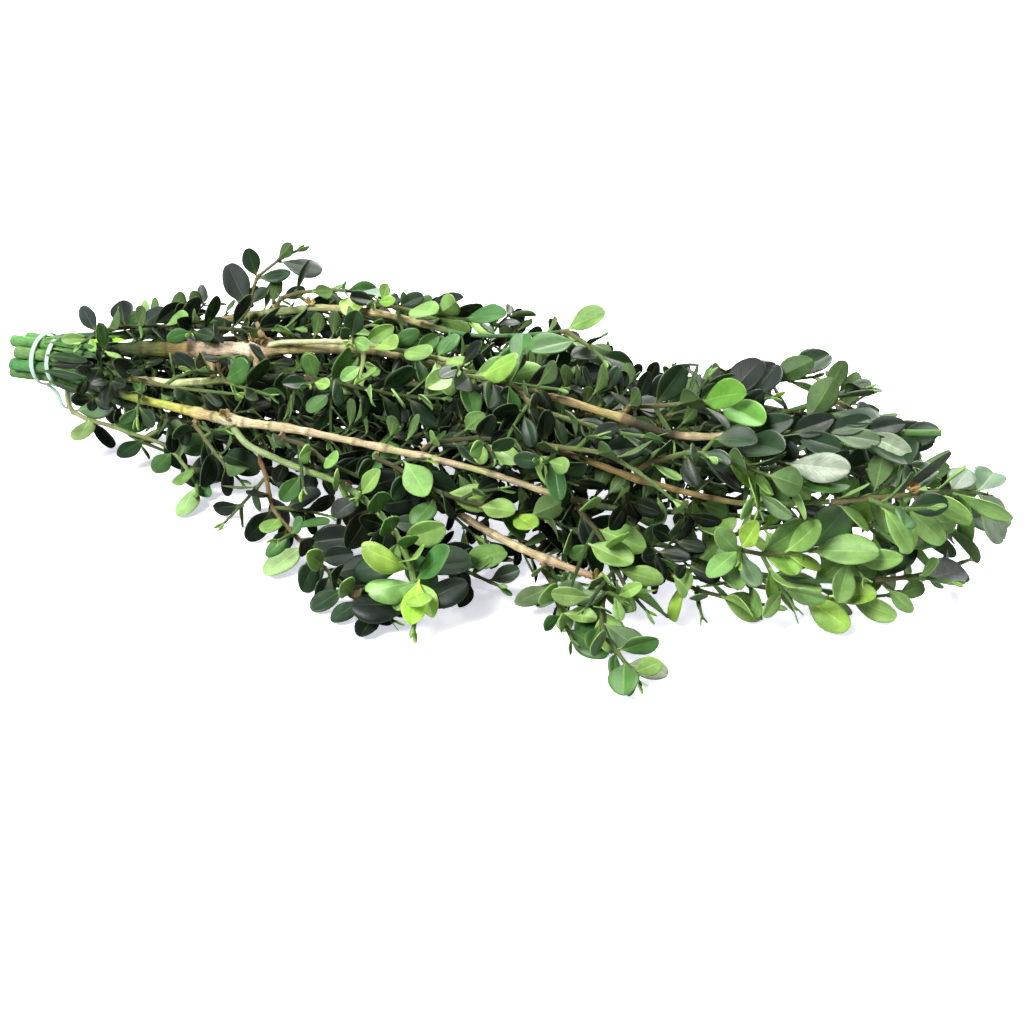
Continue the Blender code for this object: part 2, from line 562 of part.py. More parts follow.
def nudges(tries):
    """Small moves to try in turn, in wider and wider circles."""
    yield Vector((0, 0, 0))
    for k in range(tries):
        reach = 2.0 + 2.0 * (k // 8)
        turn = math.tau * (k % 8) / 8 + 0.4 * (k // 8)
        yield Vector((0, math.cos(turn) * reach, math.sin(turn) * reach))


def spray_foot(spray, stems):
    """Where a spray starts on its stem, which way it leaves, and the stem's way there."""
    path = stems[spray.stem - 1][0]
    rings = stems[spray.stem - 1][1]
    if spray.base is TIP:
        tangent = rings[-1].tangent
        return rings[-1].middle + tangent * GAP, tangent, rings[-1].v
    s = path.length_at_x(spray.base)
    middle = path.point(s)
    along = path.tangent(s)
    out = across(Vector(spray.route[0]) - middle, along)
    near = min(rings, key=lambda r: (r.middle - middle).length)
    return middle + out * (near.half + GAP), out, along


def main_twig(spray, stems, space):
    """The spray's own twig, moved a little if another piece is in its way."""
    foot, out, along = spray_foot(spray, stems)
    lean = out * 3.0 + (Vector() if spray.base is TIP else along * 1.0)
    side = along
    for shift in nudges(TWIG_TRIES):
        route = [foot, foot + lean] + [Vector(p) + shift for p in spray.route]
        path = Path(smooth(route, 4.0))
        turn = math.radians(spray.roll)
        start = across(side, out)
        start = start * math.cos(turn) + out.cross(start) * math.sin(turn)
        twig = plan_twig(path, out, start, spray.bare, spray.leaf, spray.step)
        if twig_is_clear(twig, space, spray.name):
            break
    return twig


def height_at(line, x):
    """The height of an outline at X."""
    for (x0, low), (x1, high) in zip(line, line[1:]):
        if x < x1:
            return low + (high - low) * (x - x0) / (x1 - x0)
    return line[-1][1]


def in_outline(point):
    """Whether the viewer sees a point within the bunch's outline."""
    share = VIEWER.y / (VIEWER.y - point.y)
    seen = VIEWER + (point - VIEWER) * share
    return height_at(FOOTLINE, seen.x) < seen.z < height_at(SKYLINE, seen.x)


def side_twig(parent, collar, side, length, step, space, owner, rng):
    """A short leafy twig from a collar face, or nothing if there is no room."""
    ring = parent.rings[parent.collars[collar]]
    out = sides(ring)[side]
    quad = parent.quad(collar, side)
    foot = sum(quad, Vector()) / 4
    for k in range(FORK_TRIES):
        heading = (out + ring.tangent * rng.uniform(0.5, 1.0)).normalized()
        sway = out.cross(ring.tangent) * rng.uniform(-0.5, 0.5) * (1 + 0.1 * k)
        heading = (heading + sway).normalized()
        rise = Vector((0.0, 0.0, rng.uniform(-0.15, 0.25)))
        end = foot + (heading + rise).normalized() * length
        end.z = min(end.z, foot.z + FORK_RISE)
        bend = foot + heading * length * 0.5
        bend.z = min(bend.z, foot.z + FORK_BEND_RISE)
        path = Path(smooth((foot, bend, end), 4.0))
        start = heading.cross(across(quad[0] - quad[1], heading))
        leaf = parent.leaf * FORK_LEAF
        twig = plan_twig(path, heading, start, FORK_BARE, leaf, step * FORK_STEP, quad)
        if in_outline(end) and twig_is_clear(twig, space, owner):
            return twig
        length = max(FORK_LEAST, length * FORK_SHRINK)
    return None


# a leaf's corners: 0 to 3 its foot, 4 its keel, 5 and 6 its edges, 7 and 8 its blunt tip
LEAF_FACES = fan(((0, 1, 4), (1, 2, 5, 4), (2, 3, 6, 5), (0, 4, 6, 3),
                  (4, 5, 7), (5, 6, 8, 7), (6, 4, 8), (4, 7, 8)))


def make_leaf(quad, axis, normal, length, width, bend):
    """A leaf on a collar face, its foot's corners taken in the order that twists it least."""
    wide = axis.cross(normal)

    def fit(turn):
        a, b, c, d = quad[turn:] + quad[:turn]
        return (a + d - b - c).dot(wide) + (c + d - a - b).dot(normal)

    turn = max(range(4), key=fit)
    base = sum(quad, Vector()) / 4
    return Leaf(quad[turn:] + quad[:turn], turn, base, axis, normal, length, width, bend)


def leaf_points(leaf, grow=0.0, lift=0.0, rise=0.0):
    """The foot, the keeled widest section and the blunt tip of a leaf, as it is or swollen.

    Lift moves the foot off the leaf's own twig, to see whether the rest touches it.
    Rise lifts the edges, to keep room above the blade.
    """
    wide = leaf.axis.cross(leaf.normal)
    droop = leaf.normal * -leaf.bend
    middle = leaf.base + leaf.axis * leaf.length * WIDEST + droop * 0.3
    tip = leaf.base + leaf.axis * (leaf.length + grow) + droop
    half = leaf.width / 2 + grow
    foot = [q.lerp(middle, lift) for q in leaf.foot]
    keel = middle - leaf.normal * (LEAF_THICK + grow)
    edges = [middle + wide * (half * a) + leaf.normal * rise for a in (-1, 1)]
    ends = [tip + wide * (half * TIP_WIDTH * a) for a in (-1, 1)]
    return foot + [keel] + edges + ends


def plan_leaf(twig, collar, side, size, light, step, rng):
    """One leaf on a collar face; a later step tries a wider range of angles."""
    ring = twig.rings[twig.collars[collar]]
    out = sides(ring)[side]
    loose = min(1.0, 0.35 + 0.05 * step)
    spread = math.radians(SPREAD + rng.uniform(-26, 22) * loose)
    axis = ring.tangent * math.cos(spread) + out * math.sin(spread)
    sway = out.cross(ring.tangent) * rng.uniform(-0.45, 0.45) * loose
    axis = (axis + sway).normalized()
    flat = across(ring.tangent, axis)
    normal = across(flat + light * rng.uniform(0.2, 1.1), axis)
    if normal.dot(flat) < 0.25:
        normal = across(flat + normal * 0.8, axis)
    length = twig.leaf * size * (1 - 0.015 * step) * rng.uniform(0.88, 1.1)
    width = length * LEAF_ASPECT * rng.uniform(0.92, 1.08)
    bend = length * rng.uniform(-0.06, 0.2)
    return make_leaf(twig.quad(collar, side), axis, normal, length, width, bend)


def is_sound(leaf):
    """Whether every face of a leaf looks away from its middle, so that its foot is not twisted."""
    corners = leaf_points(leaf)
    hearts = [leaf.base + leaf.axis * leaf.length * share - leaf.normal * HEART_DEEP
              for share in HEART_SHARES]
    for a, b, c in LEAF_FACES:
        out = (corners[b] - corners[a]).cross(corners[c] - corners[a]).normalized()
        if max(out.dot(corners[a] - heart) for heart in hearts) < -HEART_SLACK:
            return False
    return True


def leaf_fits(leaf, space, owner):
    """Whether a leaf is sound and clear of the table and of all else; it is kept if so."""
    if not is_sound(leaf):
        return False
    for rise in (0.0, SWELL):
        free = leaf_points(leaf, SWELL, FOOT_LIFT, rise)
        if min(p.z for p in free) < SWELL or not space.is_clear(free, LEAF_FACES):
            return False
        if not space.is_clear(leaf_points(leaf, SWELL, 0.0, rise), LEAF_FACES, owner):
            return False
    space.add(leaf_points(leaf), LEAF_FACES, owner)
    return True


def grow_leaf(twig, collar, side, space, owner, rng):
    """The first leaf pose that touches nothing; none if every pose is taken."""
    count = len(twig.collars)
    from_tip = count - 1 - collar
    size = 1.0
    if from_tip < 2:
        size = TIP_SIZES[from_tip]
    elif collar == 0:
        size = 0.8
    light = Vector((rng.uniform(-0.4, 0.4), rng.uniform(-0.7, 0.3), 1.0)).normalized()
    for step in range(LEAF_TRIES):
        leaf = plan_leaf(twig, collar, side, size, light, step, rng)
        tip = leaf.base + leaf.axis * leaf.length
        if in_outline(tip) and leaf_fits(leaf, space, owner):
            return leaf
    return None


def collar_sides(collar):
    return (0, 2) if collar % 2 == 0 else (1, 3)


def free_faces(branches):
    """Every collar face of a spray that carries nothing yet."""
    for branch in branches:
        for collar in range(len(branch.collars)):
            for side in collar_sides(collar):
                if (collar, side) not in branch.growth:
                    yield branch, collar, side


def suited_faces(branches, target):
    """The free collar faces that a leaf at the target could grow from, the best first."""
    found = []
    for branch, collar, side in free_faces(branches):
        ring = branch.rings[branch.collars[collar]]
        out = sides(ring)[side]
        reach = target - sum(branch.quad(collar, side), Vector()) / 4
        length = reach.length / BLADE_MIDDLE
        way = reach.normalized()
        lack = max(0.0, LEAST_OUT - way.dot(out))
        cost = abs(math.log(length / branch.leaf)) + lack * 1.5
        cost += max(0.0, -way.dot(ring.tangent))
        if cost < WORST_FACE:
            way = (way + out * lack).normalized()
            found.append((cost, len(found), branch, collar, side, way, length))
    return [item[2:] for item in sorted(found)[:AIMED_FACES]]


def aimed_leaf(branches, target, space, owner, rng):
    """A leaf whose blade lies at the target, if a suited face has room for it."""
    for branch, collar, side, way, length in suited_faces(branches, target):
        length = min(max(length, branch.leaf * 0.8), branch.leaf * 1.18)
        quad = branch.quad(collar, side)
        for k in range(AIMED_TRIES):
            loose = 0.04 * k
            axis = (way + Vector([rng.uniform(-loose, loose) for _ in range(3)])).normalized()
            look = TOWARD_VIEWER + Vector([rng.uniform(-loose, loose) for _ in range(3)]) * 1.5
            normal = across(look, axis)
            width = length * LEAF_ASPECT * 1.05
            leaf = make_leaf(quad, axis, normal, length, width, length * 0.06)
            if leaf_fits(leaf, space, owner):
                branch.growth[collar, side] = leaf
                return


def add_twig(twig, space, owner):
    for points in twig.blocks():
        space.add(points, tube_faces(4), owner)


def add_stem(stem, space):
    path = stem_path(stem)
    rings = stem_rings(path)
    for low, high in zip(rings, rings[1:]):
        space.add(hexagon(low) + hexagon(high), tube_faces(STEM_SIDES), stem.name)
    return path, rings


def add_forks(spray, twig, space, rng):
    for collar, flip, length in spray.forks:
        if collar < len(twig.collars):
            side = collar_sides(collar)[flip]
            fork = side_twig(twig, collar, side, length, spray.step, space, spray.name, rng)
            if fork:
                twig.growth[collar, side] = fork
                add_twig(fork, space, spray.name)


def keep_open(points, space):
    """Keeps leaves away from the viewer's side of a line of wood."""
    for a, b in zip(points, points[1:]):
        way = (VIEWER - (a + b) / 2).normalized()
        side = way.cross(b - a).normalized()
        block = []
        for end in (a, b):
            for reach, half in ((OPEN_NEAR, OPEN_HALF[0]), (OPEN_FAR, OPEN_HALF[1])):
                block += [end + way * reach + side * half, end + way * reach - side * half]
        index = (0, 1, 3, 2, 4, 5, 7, 6)
        space.add([block[k] for k in index], tube_faces(4), "open")


def keep_wood_open(stems, twigs, space):
    for stem, (path, _) in zip(STEMS, stems):
        for low, high in OPEN_STEMS.get(stem.name, ()):
            marks = [low + (high - low) * k / 8 for k in range(9)]
            keep_open([path.point(path.length_at_x(x)) for x in marks], space)
    for spray, twig in zip(SPRAYS, twigs):
        length = OPEN_TWIGS.get(spray.name, 0)
        middles = [r.middle for r in twig.rings]
        near = [p for p in middles if (p - middles[0]).length < length]
        keep_open(near, space)


def branches_of(twig):
    return [twig] + [item for item in twig.growth.values() if isinstance(item, Twig)]


def plan_bunch():
    """Stems first, then every twig, then the leaves that still find room."""
    space = Space()
    stems = [add_stem(stem, space) for stem in STEMS]
    twigs = []
    for spray in SPRAYS:
        twigs.append(main_twig(spray, stems, space))
        add_twig(twigs[-1], space, spray.name)
    for number, (spray, twig) in enumerate(zip(SPRAYS, twigs)):
        add_forks(spray, twig, space, random.Random(FORK_SEED + number))
    for number, (spray, twig) in enumerate(zip(SPRAYS, twigs)):
        rng = random.Random(BLADE_SEED + number)
        for target in BLADES.get(spray.name, ()):
            aimed_leaf(branches_of(twig), Vector(target), space, spray.name, rng)
    keep_wood_open(stems, twigs, space)
    for number, (spray, twig) in enumerate(zip(SPRAYS, twigs)):
        rng = random.Random(LEAF_SEED + number)
        for branch, collar, side in list(free_faces(branches_of(twig))):
            branch.growth[collar, side] = grow_leaf(branch, collar, side, space, spray.name, rng)
    return stems, twigs


# ---------------------------------------------------------------- meshes
class Shell:
    """Corners and faces of one closed body, kept in millimetres."""

    def __init__(self):
        self.points = []
        self.faces = []

    def add_points(self, points):
        first = len(self.points)
        self.points.extend(points)
        return list(range(first, len(self.points)))

    def bridge(self, low, high, skip=()):
        count = len(low)
        for k in range(count):
            if k not in skip:
                after = (k + 1) % count
                self.faces.append((low[k], low[after], high[after], high[k]))


def leaf_shell(shell, leaf, foot):
    points = leaf_points(leaf)[4:]
    index = foot[leaf.turn:] + foot[:leaf.turn] + shell.add_points(points)
    for face in LEAF_FACES:
        shell.faces.append(tuple(index[k] for k in face))


def twig_shell(shell, twig, foot=None):
    """Walls along a twig, with leaves and side twigs grown out of its collars.

    The foot of a side twig is the face it grows from, its corners beginning with the
    second, because a side twig's first section is set a quarter turn on from that face.
    """
    corners = [shell.add_points(square(r)) for r in twig.rings[twig.lower_end():]]
    if foot:
        shell.bridge(foot, corners[0])
    else:
        shell.faces.append(tuple(reversed(corners[0])))
    starts = [c - twig.lower_end() for c in twig.collars]
    for k, (low, high) in enumerate(zip(corners, corners[1:])):
        grown = {}
        if k in starts:
            collar = starts.index(k)
            grown = {side: twig.growth.get((collar, side)) for side in collar_sides(collar)}
        skip = [side for side, item in grown.items() if item]
        shell.bridge(low, high, skip)
        for side in skip:
            after = (side + 1) % 4
            face = [low[side], low[after], high[after], high[side]]
            if isinstance(grown[side], Twig):
                twig_shell(shell, grown[side], face[1:] + face[:1])
            else:
                leaf_shell(shell, grown[side], face)
    last = twig.rings[-1]
    bud = shell.add_points([last.middle + last.tangent * BUD])[0]
    for k in range(4):
        shell.faces.append((corners[-1][k], corners[-1][(k + 1) % 4], bud))


def stem_shell(shell, rings):
    corners = [shell.add_points(hexagon(r)) for r in rings]
    shell.faces.append(tuple(reversed(corners[0])))
    for low, high in zip(corners, corners[1:]):
        shell.bridge(low, high)
    shell.faces.append(tuple(corners[-1]))


def band_route():
    """Two turns around the bundle, and the spare loop hanging between them."""
    start_x, end_x = BAND_TURNS_X
    centre = Vector((0, 0, TIE_HEIGHT))

    def on_band(x, degrees, radius=BAND_RADIUS):
        turn = math.radians(degrees)
        return Vector((x, math.cos(turn) * radius, centre.z + math.sin(turn) * radius))

    steps = range(0, 331, 15)
    first = [on_band(start_x, -75 + s) for s in steps]
    second = [on_band(end_x, -75 + s) for s in steps]
    low = TIE_HEIGHT - BAND_RADIUS - BAND_LOOP_DROP
    third = (end_x - start_x) / 3
    loop = [(end_x - third * 1.7, -1.5, low + 9), (end_x - third * 1.0, -1.5, low + 3),
            (end_x - third * 0.7, 1.5, low), (end_x - third * 0.8, 5.5, low + 3),
            (end_x - third * 1.0, 6.5, low + 9)]
    back = [on_band(end_x - third, -93), on_band(start_x + third, -87)]
    return first + [Vector(p) for p in loop] + second + back


def band_shell(shell):
    route = band_route()
    count = len(route)
    corners = []
    for k, point in enumerate(route):
        tangent = (route[(k + 1) % count] - route[k - 1]).normalized()
        wide = across(Vector((1, 0, 0)), tangent) * BAND_WIDTH / 2
        thick = tangent.cross(wide).normalized() * BAND_THICK / 2
        corners.append(shell.add_points([point + wide + thick, point - wide + thick,
                                         point - wide - thick, point + wide - thick]))
    for k in range(count):
        shell.bridge(corners[k], corners[(k + 1) % count])


def bunch_shells():
    stems, twigs = plan_bunch()
    shells = {}
    for stem, (path, rings) in zip(STEMS, stems):
        shells[stem.name] = Shell()
        stem_shell(shells[stem.name], rings)
    for spray, twig in zip(SPRAYS, twigs):
        shells[spray.name] = Shell()
        twig_shell(shells[spray.name], twig)
    shells["rubber_band"] = Shell()
    band_shell(shells["rubber_band"])
    return shells


# ---------------------------------------------------------------- materials and objects
def material(name, color, roughness):
    made = bpy.data.materials.new(name)
    made.use_nodes = True
    shader = made.node_tree.nodes["Principled BSDF"]
    shader.inputs["Base Color"].default_value = color + (1.0,)
    shader.inputs["Roughness"].default_value = roughness
    shader.inputs["Metallic"].default_value = 0.0
    made.diffuse_color = color + (1.0,)
    return made


def color_of(name, number):
    """Tan bark, leaf greens that differ a little from spray to spray, mint rubber."""
    if name == "rubber_band":
        return (0.6, 0.85, 0.7), 0.5
    if "spray" in name or "tip" in name:
        shade = (number * 5 % 7) / 6
        return (0.05 + 0.09 * shade, 0.16 + 0.17 * shade, 0.05 + 0.03 * shade), 0.4
    return (0.42, 0.3, 0.16), 0.8


def make_object(name, shell, shift, number):
    mesh = bpy.data.meshes.new(name)
    mesh.from_pydata([(p + shift) * MM for p in shell.points], [], fan(shell.faces))
    mesh.update()
    color, roughness = color_of(name, number)
    mesh.materials.append(material(name, color, roughness))
    made = bpy.data.objects.new(name, mesh)
    bpy.context.scene.collection.objects.link(made)


def main():
    for old in list(bpy.data.objects):
        bpy.data.objects.remove(old, do_unlink=True)
    shells = bunch_shells()
    low, high = Space.box([p for shell in shells.values() for p in shell.points])
    shift = Vector((-(low[0] + high[0]) / 2, -(low[1] + high[1]) / 2, -low[2]))
    for number, (name, shell) in enumerate(shells.items()):
        make_object(name, shell, shift, number)


main()
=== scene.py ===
"""A bunch of cut boxwood lying on a pale table, dressed over its CAD frame.

The plan below is the one that the CAD part is made from, in millimetres: stems,
twigs, collars and leaves. The pieces that follow are grown on that plan. Stems and
twigs get bark, knots and cut ends; leaves get stalks, folds, ribs and margins.
"""
import math
import random
from collections import namedtuple

import bpy
import numpy as np
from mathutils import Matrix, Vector
from mathutils.bvhtree import BVHTree


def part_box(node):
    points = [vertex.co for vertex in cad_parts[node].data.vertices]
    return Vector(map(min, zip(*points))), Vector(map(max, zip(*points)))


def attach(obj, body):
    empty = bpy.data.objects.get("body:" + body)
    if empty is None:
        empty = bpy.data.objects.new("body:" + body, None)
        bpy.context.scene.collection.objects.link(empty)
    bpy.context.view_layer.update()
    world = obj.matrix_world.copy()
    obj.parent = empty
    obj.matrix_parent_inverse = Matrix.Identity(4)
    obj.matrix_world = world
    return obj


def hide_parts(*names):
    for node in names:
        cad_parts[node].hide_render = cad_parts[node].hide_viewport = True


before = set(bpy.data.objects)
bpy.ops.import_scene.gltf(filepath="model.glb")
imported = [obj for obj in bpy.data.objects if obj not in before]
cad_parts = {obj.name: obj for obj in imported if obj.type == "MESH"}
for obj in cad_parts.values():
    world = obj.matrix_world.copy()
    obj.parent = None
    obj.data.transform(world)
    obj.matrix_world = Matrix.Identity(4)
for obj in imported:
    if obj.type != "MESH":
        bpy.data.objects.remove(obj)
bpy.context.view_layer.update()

# ---------------------------------------------------------------- dimensions, mm
MM = 0.001
GAP = 0.3                 # clearance between neighbouring pieces
TIE_HEIGHT = 39.0         # middle of the tied bundle above the table
CUT_X = -237.0            # longest cut end
TIE_EXIT_X = -208.0       # where the stems begin to fan out
OUTER_RING = 9.1          # distance of the nine outer stems from the bundle's middle
INNER_RING = 3.65         # distance of the three inner stems
STEM_RADIUS = 2.8         # at the tie
STEM_END_RADIUS = 1.5
STEM_SIDES = 6
STEM_STEP = 38.0          # length of one straight piece of a stem
TWIG_HALF = 1.0           # half the width of a twig at its foot
TWIG_END_HALF = 0.6
TWIG_STEP = 16.0
CURVE_STEP = 4.0          # between the points that a twig's line runs through
BAND_RADIUS = 12.8        # middle of the band around the bundle
BAND_WIDTH = 2.4
BAND_THICK = 0.9
BAND_TURNS_X = (-219.5, -210.5)
BAND_LOOP_DROP = 13.0     # how far the spare loop hangs below the bundle
LEAF_THICK = 0.5
LEAF_ASPECT = 0.62        # width over length
TIP_SIZES = (0.8, 0.95)   # the last leaf pair and the one before it, over a full leaf
WIDEST = 0.58             # where a leaf is widest, along its length
BLADE_MIDDLE = 0.56       # where the middle of its blade is
TIP_WIDTH = 0.46          # width of the blunt tip, over the widest part
NODE_HALF = 0.6           # half the height of the collar that carries a leaf pair
SPREAD = 48.0             # usual angle of a leaf off its twig, degrees
SWELL = 0.35              # how much a leaf or twig is swollen when its room is tested
LEAST_OUT = 0.3           # least share of a leaf's way that leads straight off its collar face
HEART_SHARES = (0.05, 0.3)     # points inside a leaf, over its length
HEART_DEEP = 0.12         # how far they lie below its upper face
HEART_SLACK = 0.02
FOOT_LIFT = 0.2           # the share of a leaf's lower half that lies by its own twig
BUD = 3.0                 # length of the pointed bud that ends a twig
TIP_REST = 3.5            # shortest piece of twig beyond the last leaf pair
STEP_SHRINK = 0.95        # each leaf pair is a little closer to the next
STEP_LEAST = 5.5
FORK_BARE = 6.0           # a side twig is bare for this length
FORK_LEAF = 0.88          # its leaves are smaller than those of the main twig
FORK_STEP = 0.9
SPREAD_OFF = (-26, 22)    # how far one leaf's angle is off the usual one
LEAF_SWAY = 0.45          # how far it leans to either side
TO_LIGHT = (0.2, 1.1)     # how much its face turns to the light
LEAST_FLAT = 0.25         # the least that its face looks along its twig
LENGTH_OFF, WIDTH_OFF, DROOP = (0.88, 1.1), (0.92, 1.08), (-0.06, 0.2)
LEAF_TRIES = 30
FIRST_LOOSE, TRY_LOOSER = 0.35, 0.05    # each try may turn a leaf further
TRY_SHORTER = 0.015       # and makes it a little shorter
AIMED_TRIES = 24
AIMED_FACES = 3           # how many collar faces are tried for a leaf with a set place
WORST_FACE = 1.1
LACK_COST = 1.5
AIMED_LEAST, AIMED_MOST = 0.8, 1.18     # its length, over a full leaf
AIMED_LOOSE = 0.04        # how much further each try may turn it
AIMED_TURN = 1.5          # how much more its face may turn than its way
AIMED_WIDE, AIMED_DROOP = 1.05, 0.06
FORK_TRIES = 24
FORK_SHRINK = 0.97        # a side twig with no room is tried again a little shorter
FORK_LEAST = 14.0
FORK_AHEAD, FORK_SWAY, FORK_CLIMB = (0.5, 1.0), 0.5, (-0.15, 0.25)      # the way it goes
FORK_RISE = 6.0           # how far its end may stand above its foot
FORK_BEND_RISE = 4.8      # and its middle
OPEN_NEAR = 2.4           # the clear room in front of wood that shows: from here
OPEN_FAR = 30.0           # to here
OPEN_HALF = (2.2, 1.4)    # half its width near the wood and far from it
TWIG_TRIES = 80
FORK_SEED, BLADE_SEED, LEAF_SEED = 1100, 302, 500       # picked by trying several

# ---------------------------------------------------------------- the plan
# Many points below were read from the photo by eye, with a guessed height, and a scratch
# script turned them into millimetres; most of the routes were then changed by hand.
# angle: the stem's place around the bundle's middle, 90 on top and 180 in front
# cut: how much shorter than the longest its cut end is
# route: points that the stem passes beyond the tie
Stem = namedtuple("Stem", "name ring angle cut route")
STEMS = (
    Stem("stem_01", OUTER_RING, 110, 1, (
        (-185, -2, 49), (-150, 1, 52), (-102, 7, 56), (-60, 10, 60), (-38, 4, 63), (0, -12, 66),
        (33, -28, 68), (64, -42, 70), (91, -48, 68), (116, -51, 65), (147, -52, 70),
        (180, -48, 74), (213, -46, 78))),
    Stem("stem_02", OUTER_RING, 150, 6, (
        (-185, -8, 40), (-148, -12, 40), (-109, -12, 46), (-74, -12, 52), (-24, -10, 55),
        (20, -24, 59), (66, -38, 60), (104, -38, 60), (140, -26, 66), (165, -12, 72))),
    Stem("stem_03", OUTER_RING, 190, 3, (
        (-185, -13, 34), (-159, -20, 34), (-134, -28, 36), (-90, -43, 40), (-51, -52, 44),
        (2, -63, 46), (39, -69, 46), (75, -73, 42), (100, -68, 38), (126, -52, 34),
        (142, -45, 32), (164, -45, 34))),
    Stem("stem_04", OUTER_RING, 230, 0, (
        (-185, -9, 28), (-150, -16, 26), (-100, -28, 24), (-45, -43, 22), (17, -57, 22),
        (32, -63, 20), (49, -72, 19), (70, -79, 17), (94, -84, 15))),
    Stem("stem_05", OUTER_RING, 270, 8, (
        (-185, -1, 24), (-150, -4, 16), (-100, -10, 12), (-40, -24, 11), (20, -38, 12),
        (60, -52, 16), (90, -66, 22), (116, -73, 28), (136, -75, 24), (170, -68, 20),
        (196, -58, 20))),
    Stem("stem_06", INNER_RING, 90, 4, (
        (-185, 1, 42), (-150, 3, 42), (-100, 4, 46), (-50, 0, 48), (0, -22, 48),
        (40, -48, 52), (72, -64, 57), (90, -68, 55), (110, -72, 53), (146, -72, 50),
        (178, -68, 54))),
    Stem("stem_07", INNER_RING, 210, 2, (
        (-185, -4, 34), (-150, -8, 33), (-100, -14, 34), (-50, -24, 34), (0, -34, 33),
        (60, -42, 34), (110, -32, 40), (160, -20, 46))),
    Stem("stem_08", OUTER_RING, 70, 5, (
        (-185, 8, 52), (-150, 20, 58), (-115, 28, 65), (-97, 28, 69), (-80, 29, 72),
        (-56, 28, 73), (-36, 22, 74), (1, 8, 75), (25, 8, 77), (44, 14, 79))),
    Stem("stem_09", OUTER_RING, 30, 2, (
        (-185, 12, 45), (-150, 24, 49), (-90, 38, 52), (-30, 42, 55), (30, 36, 55),
        (90, 22, 56), (150, 10, 57))),
    Stem("stem_10", OUTER_RING, 350, 7, (
        (-185, 13, 36), (-150, 26, 36), (-90, 42, 33), (-30, 48, 30), (40, 47, 27),
        (100, 40, 27), (150, 28, 30))),
    Stem("stem_11", OUTER_RING, 310, 3, (
        (-185, 9, 26), (-150, 16, 20), (-90, 28, 15), (-20, 32, 13), (60, 28, 14),
        (120, 14, 17), (170, 0, 20))),
    Stem("stem_12", INNER_RING, 330, 6, (
        (-185, 5, 36), (-150, 12, 34), (-90, 20, 35), (-30, 18, 36), (30, 12, 38),
        (90, 4, 42), (130, 0, 46))),
)

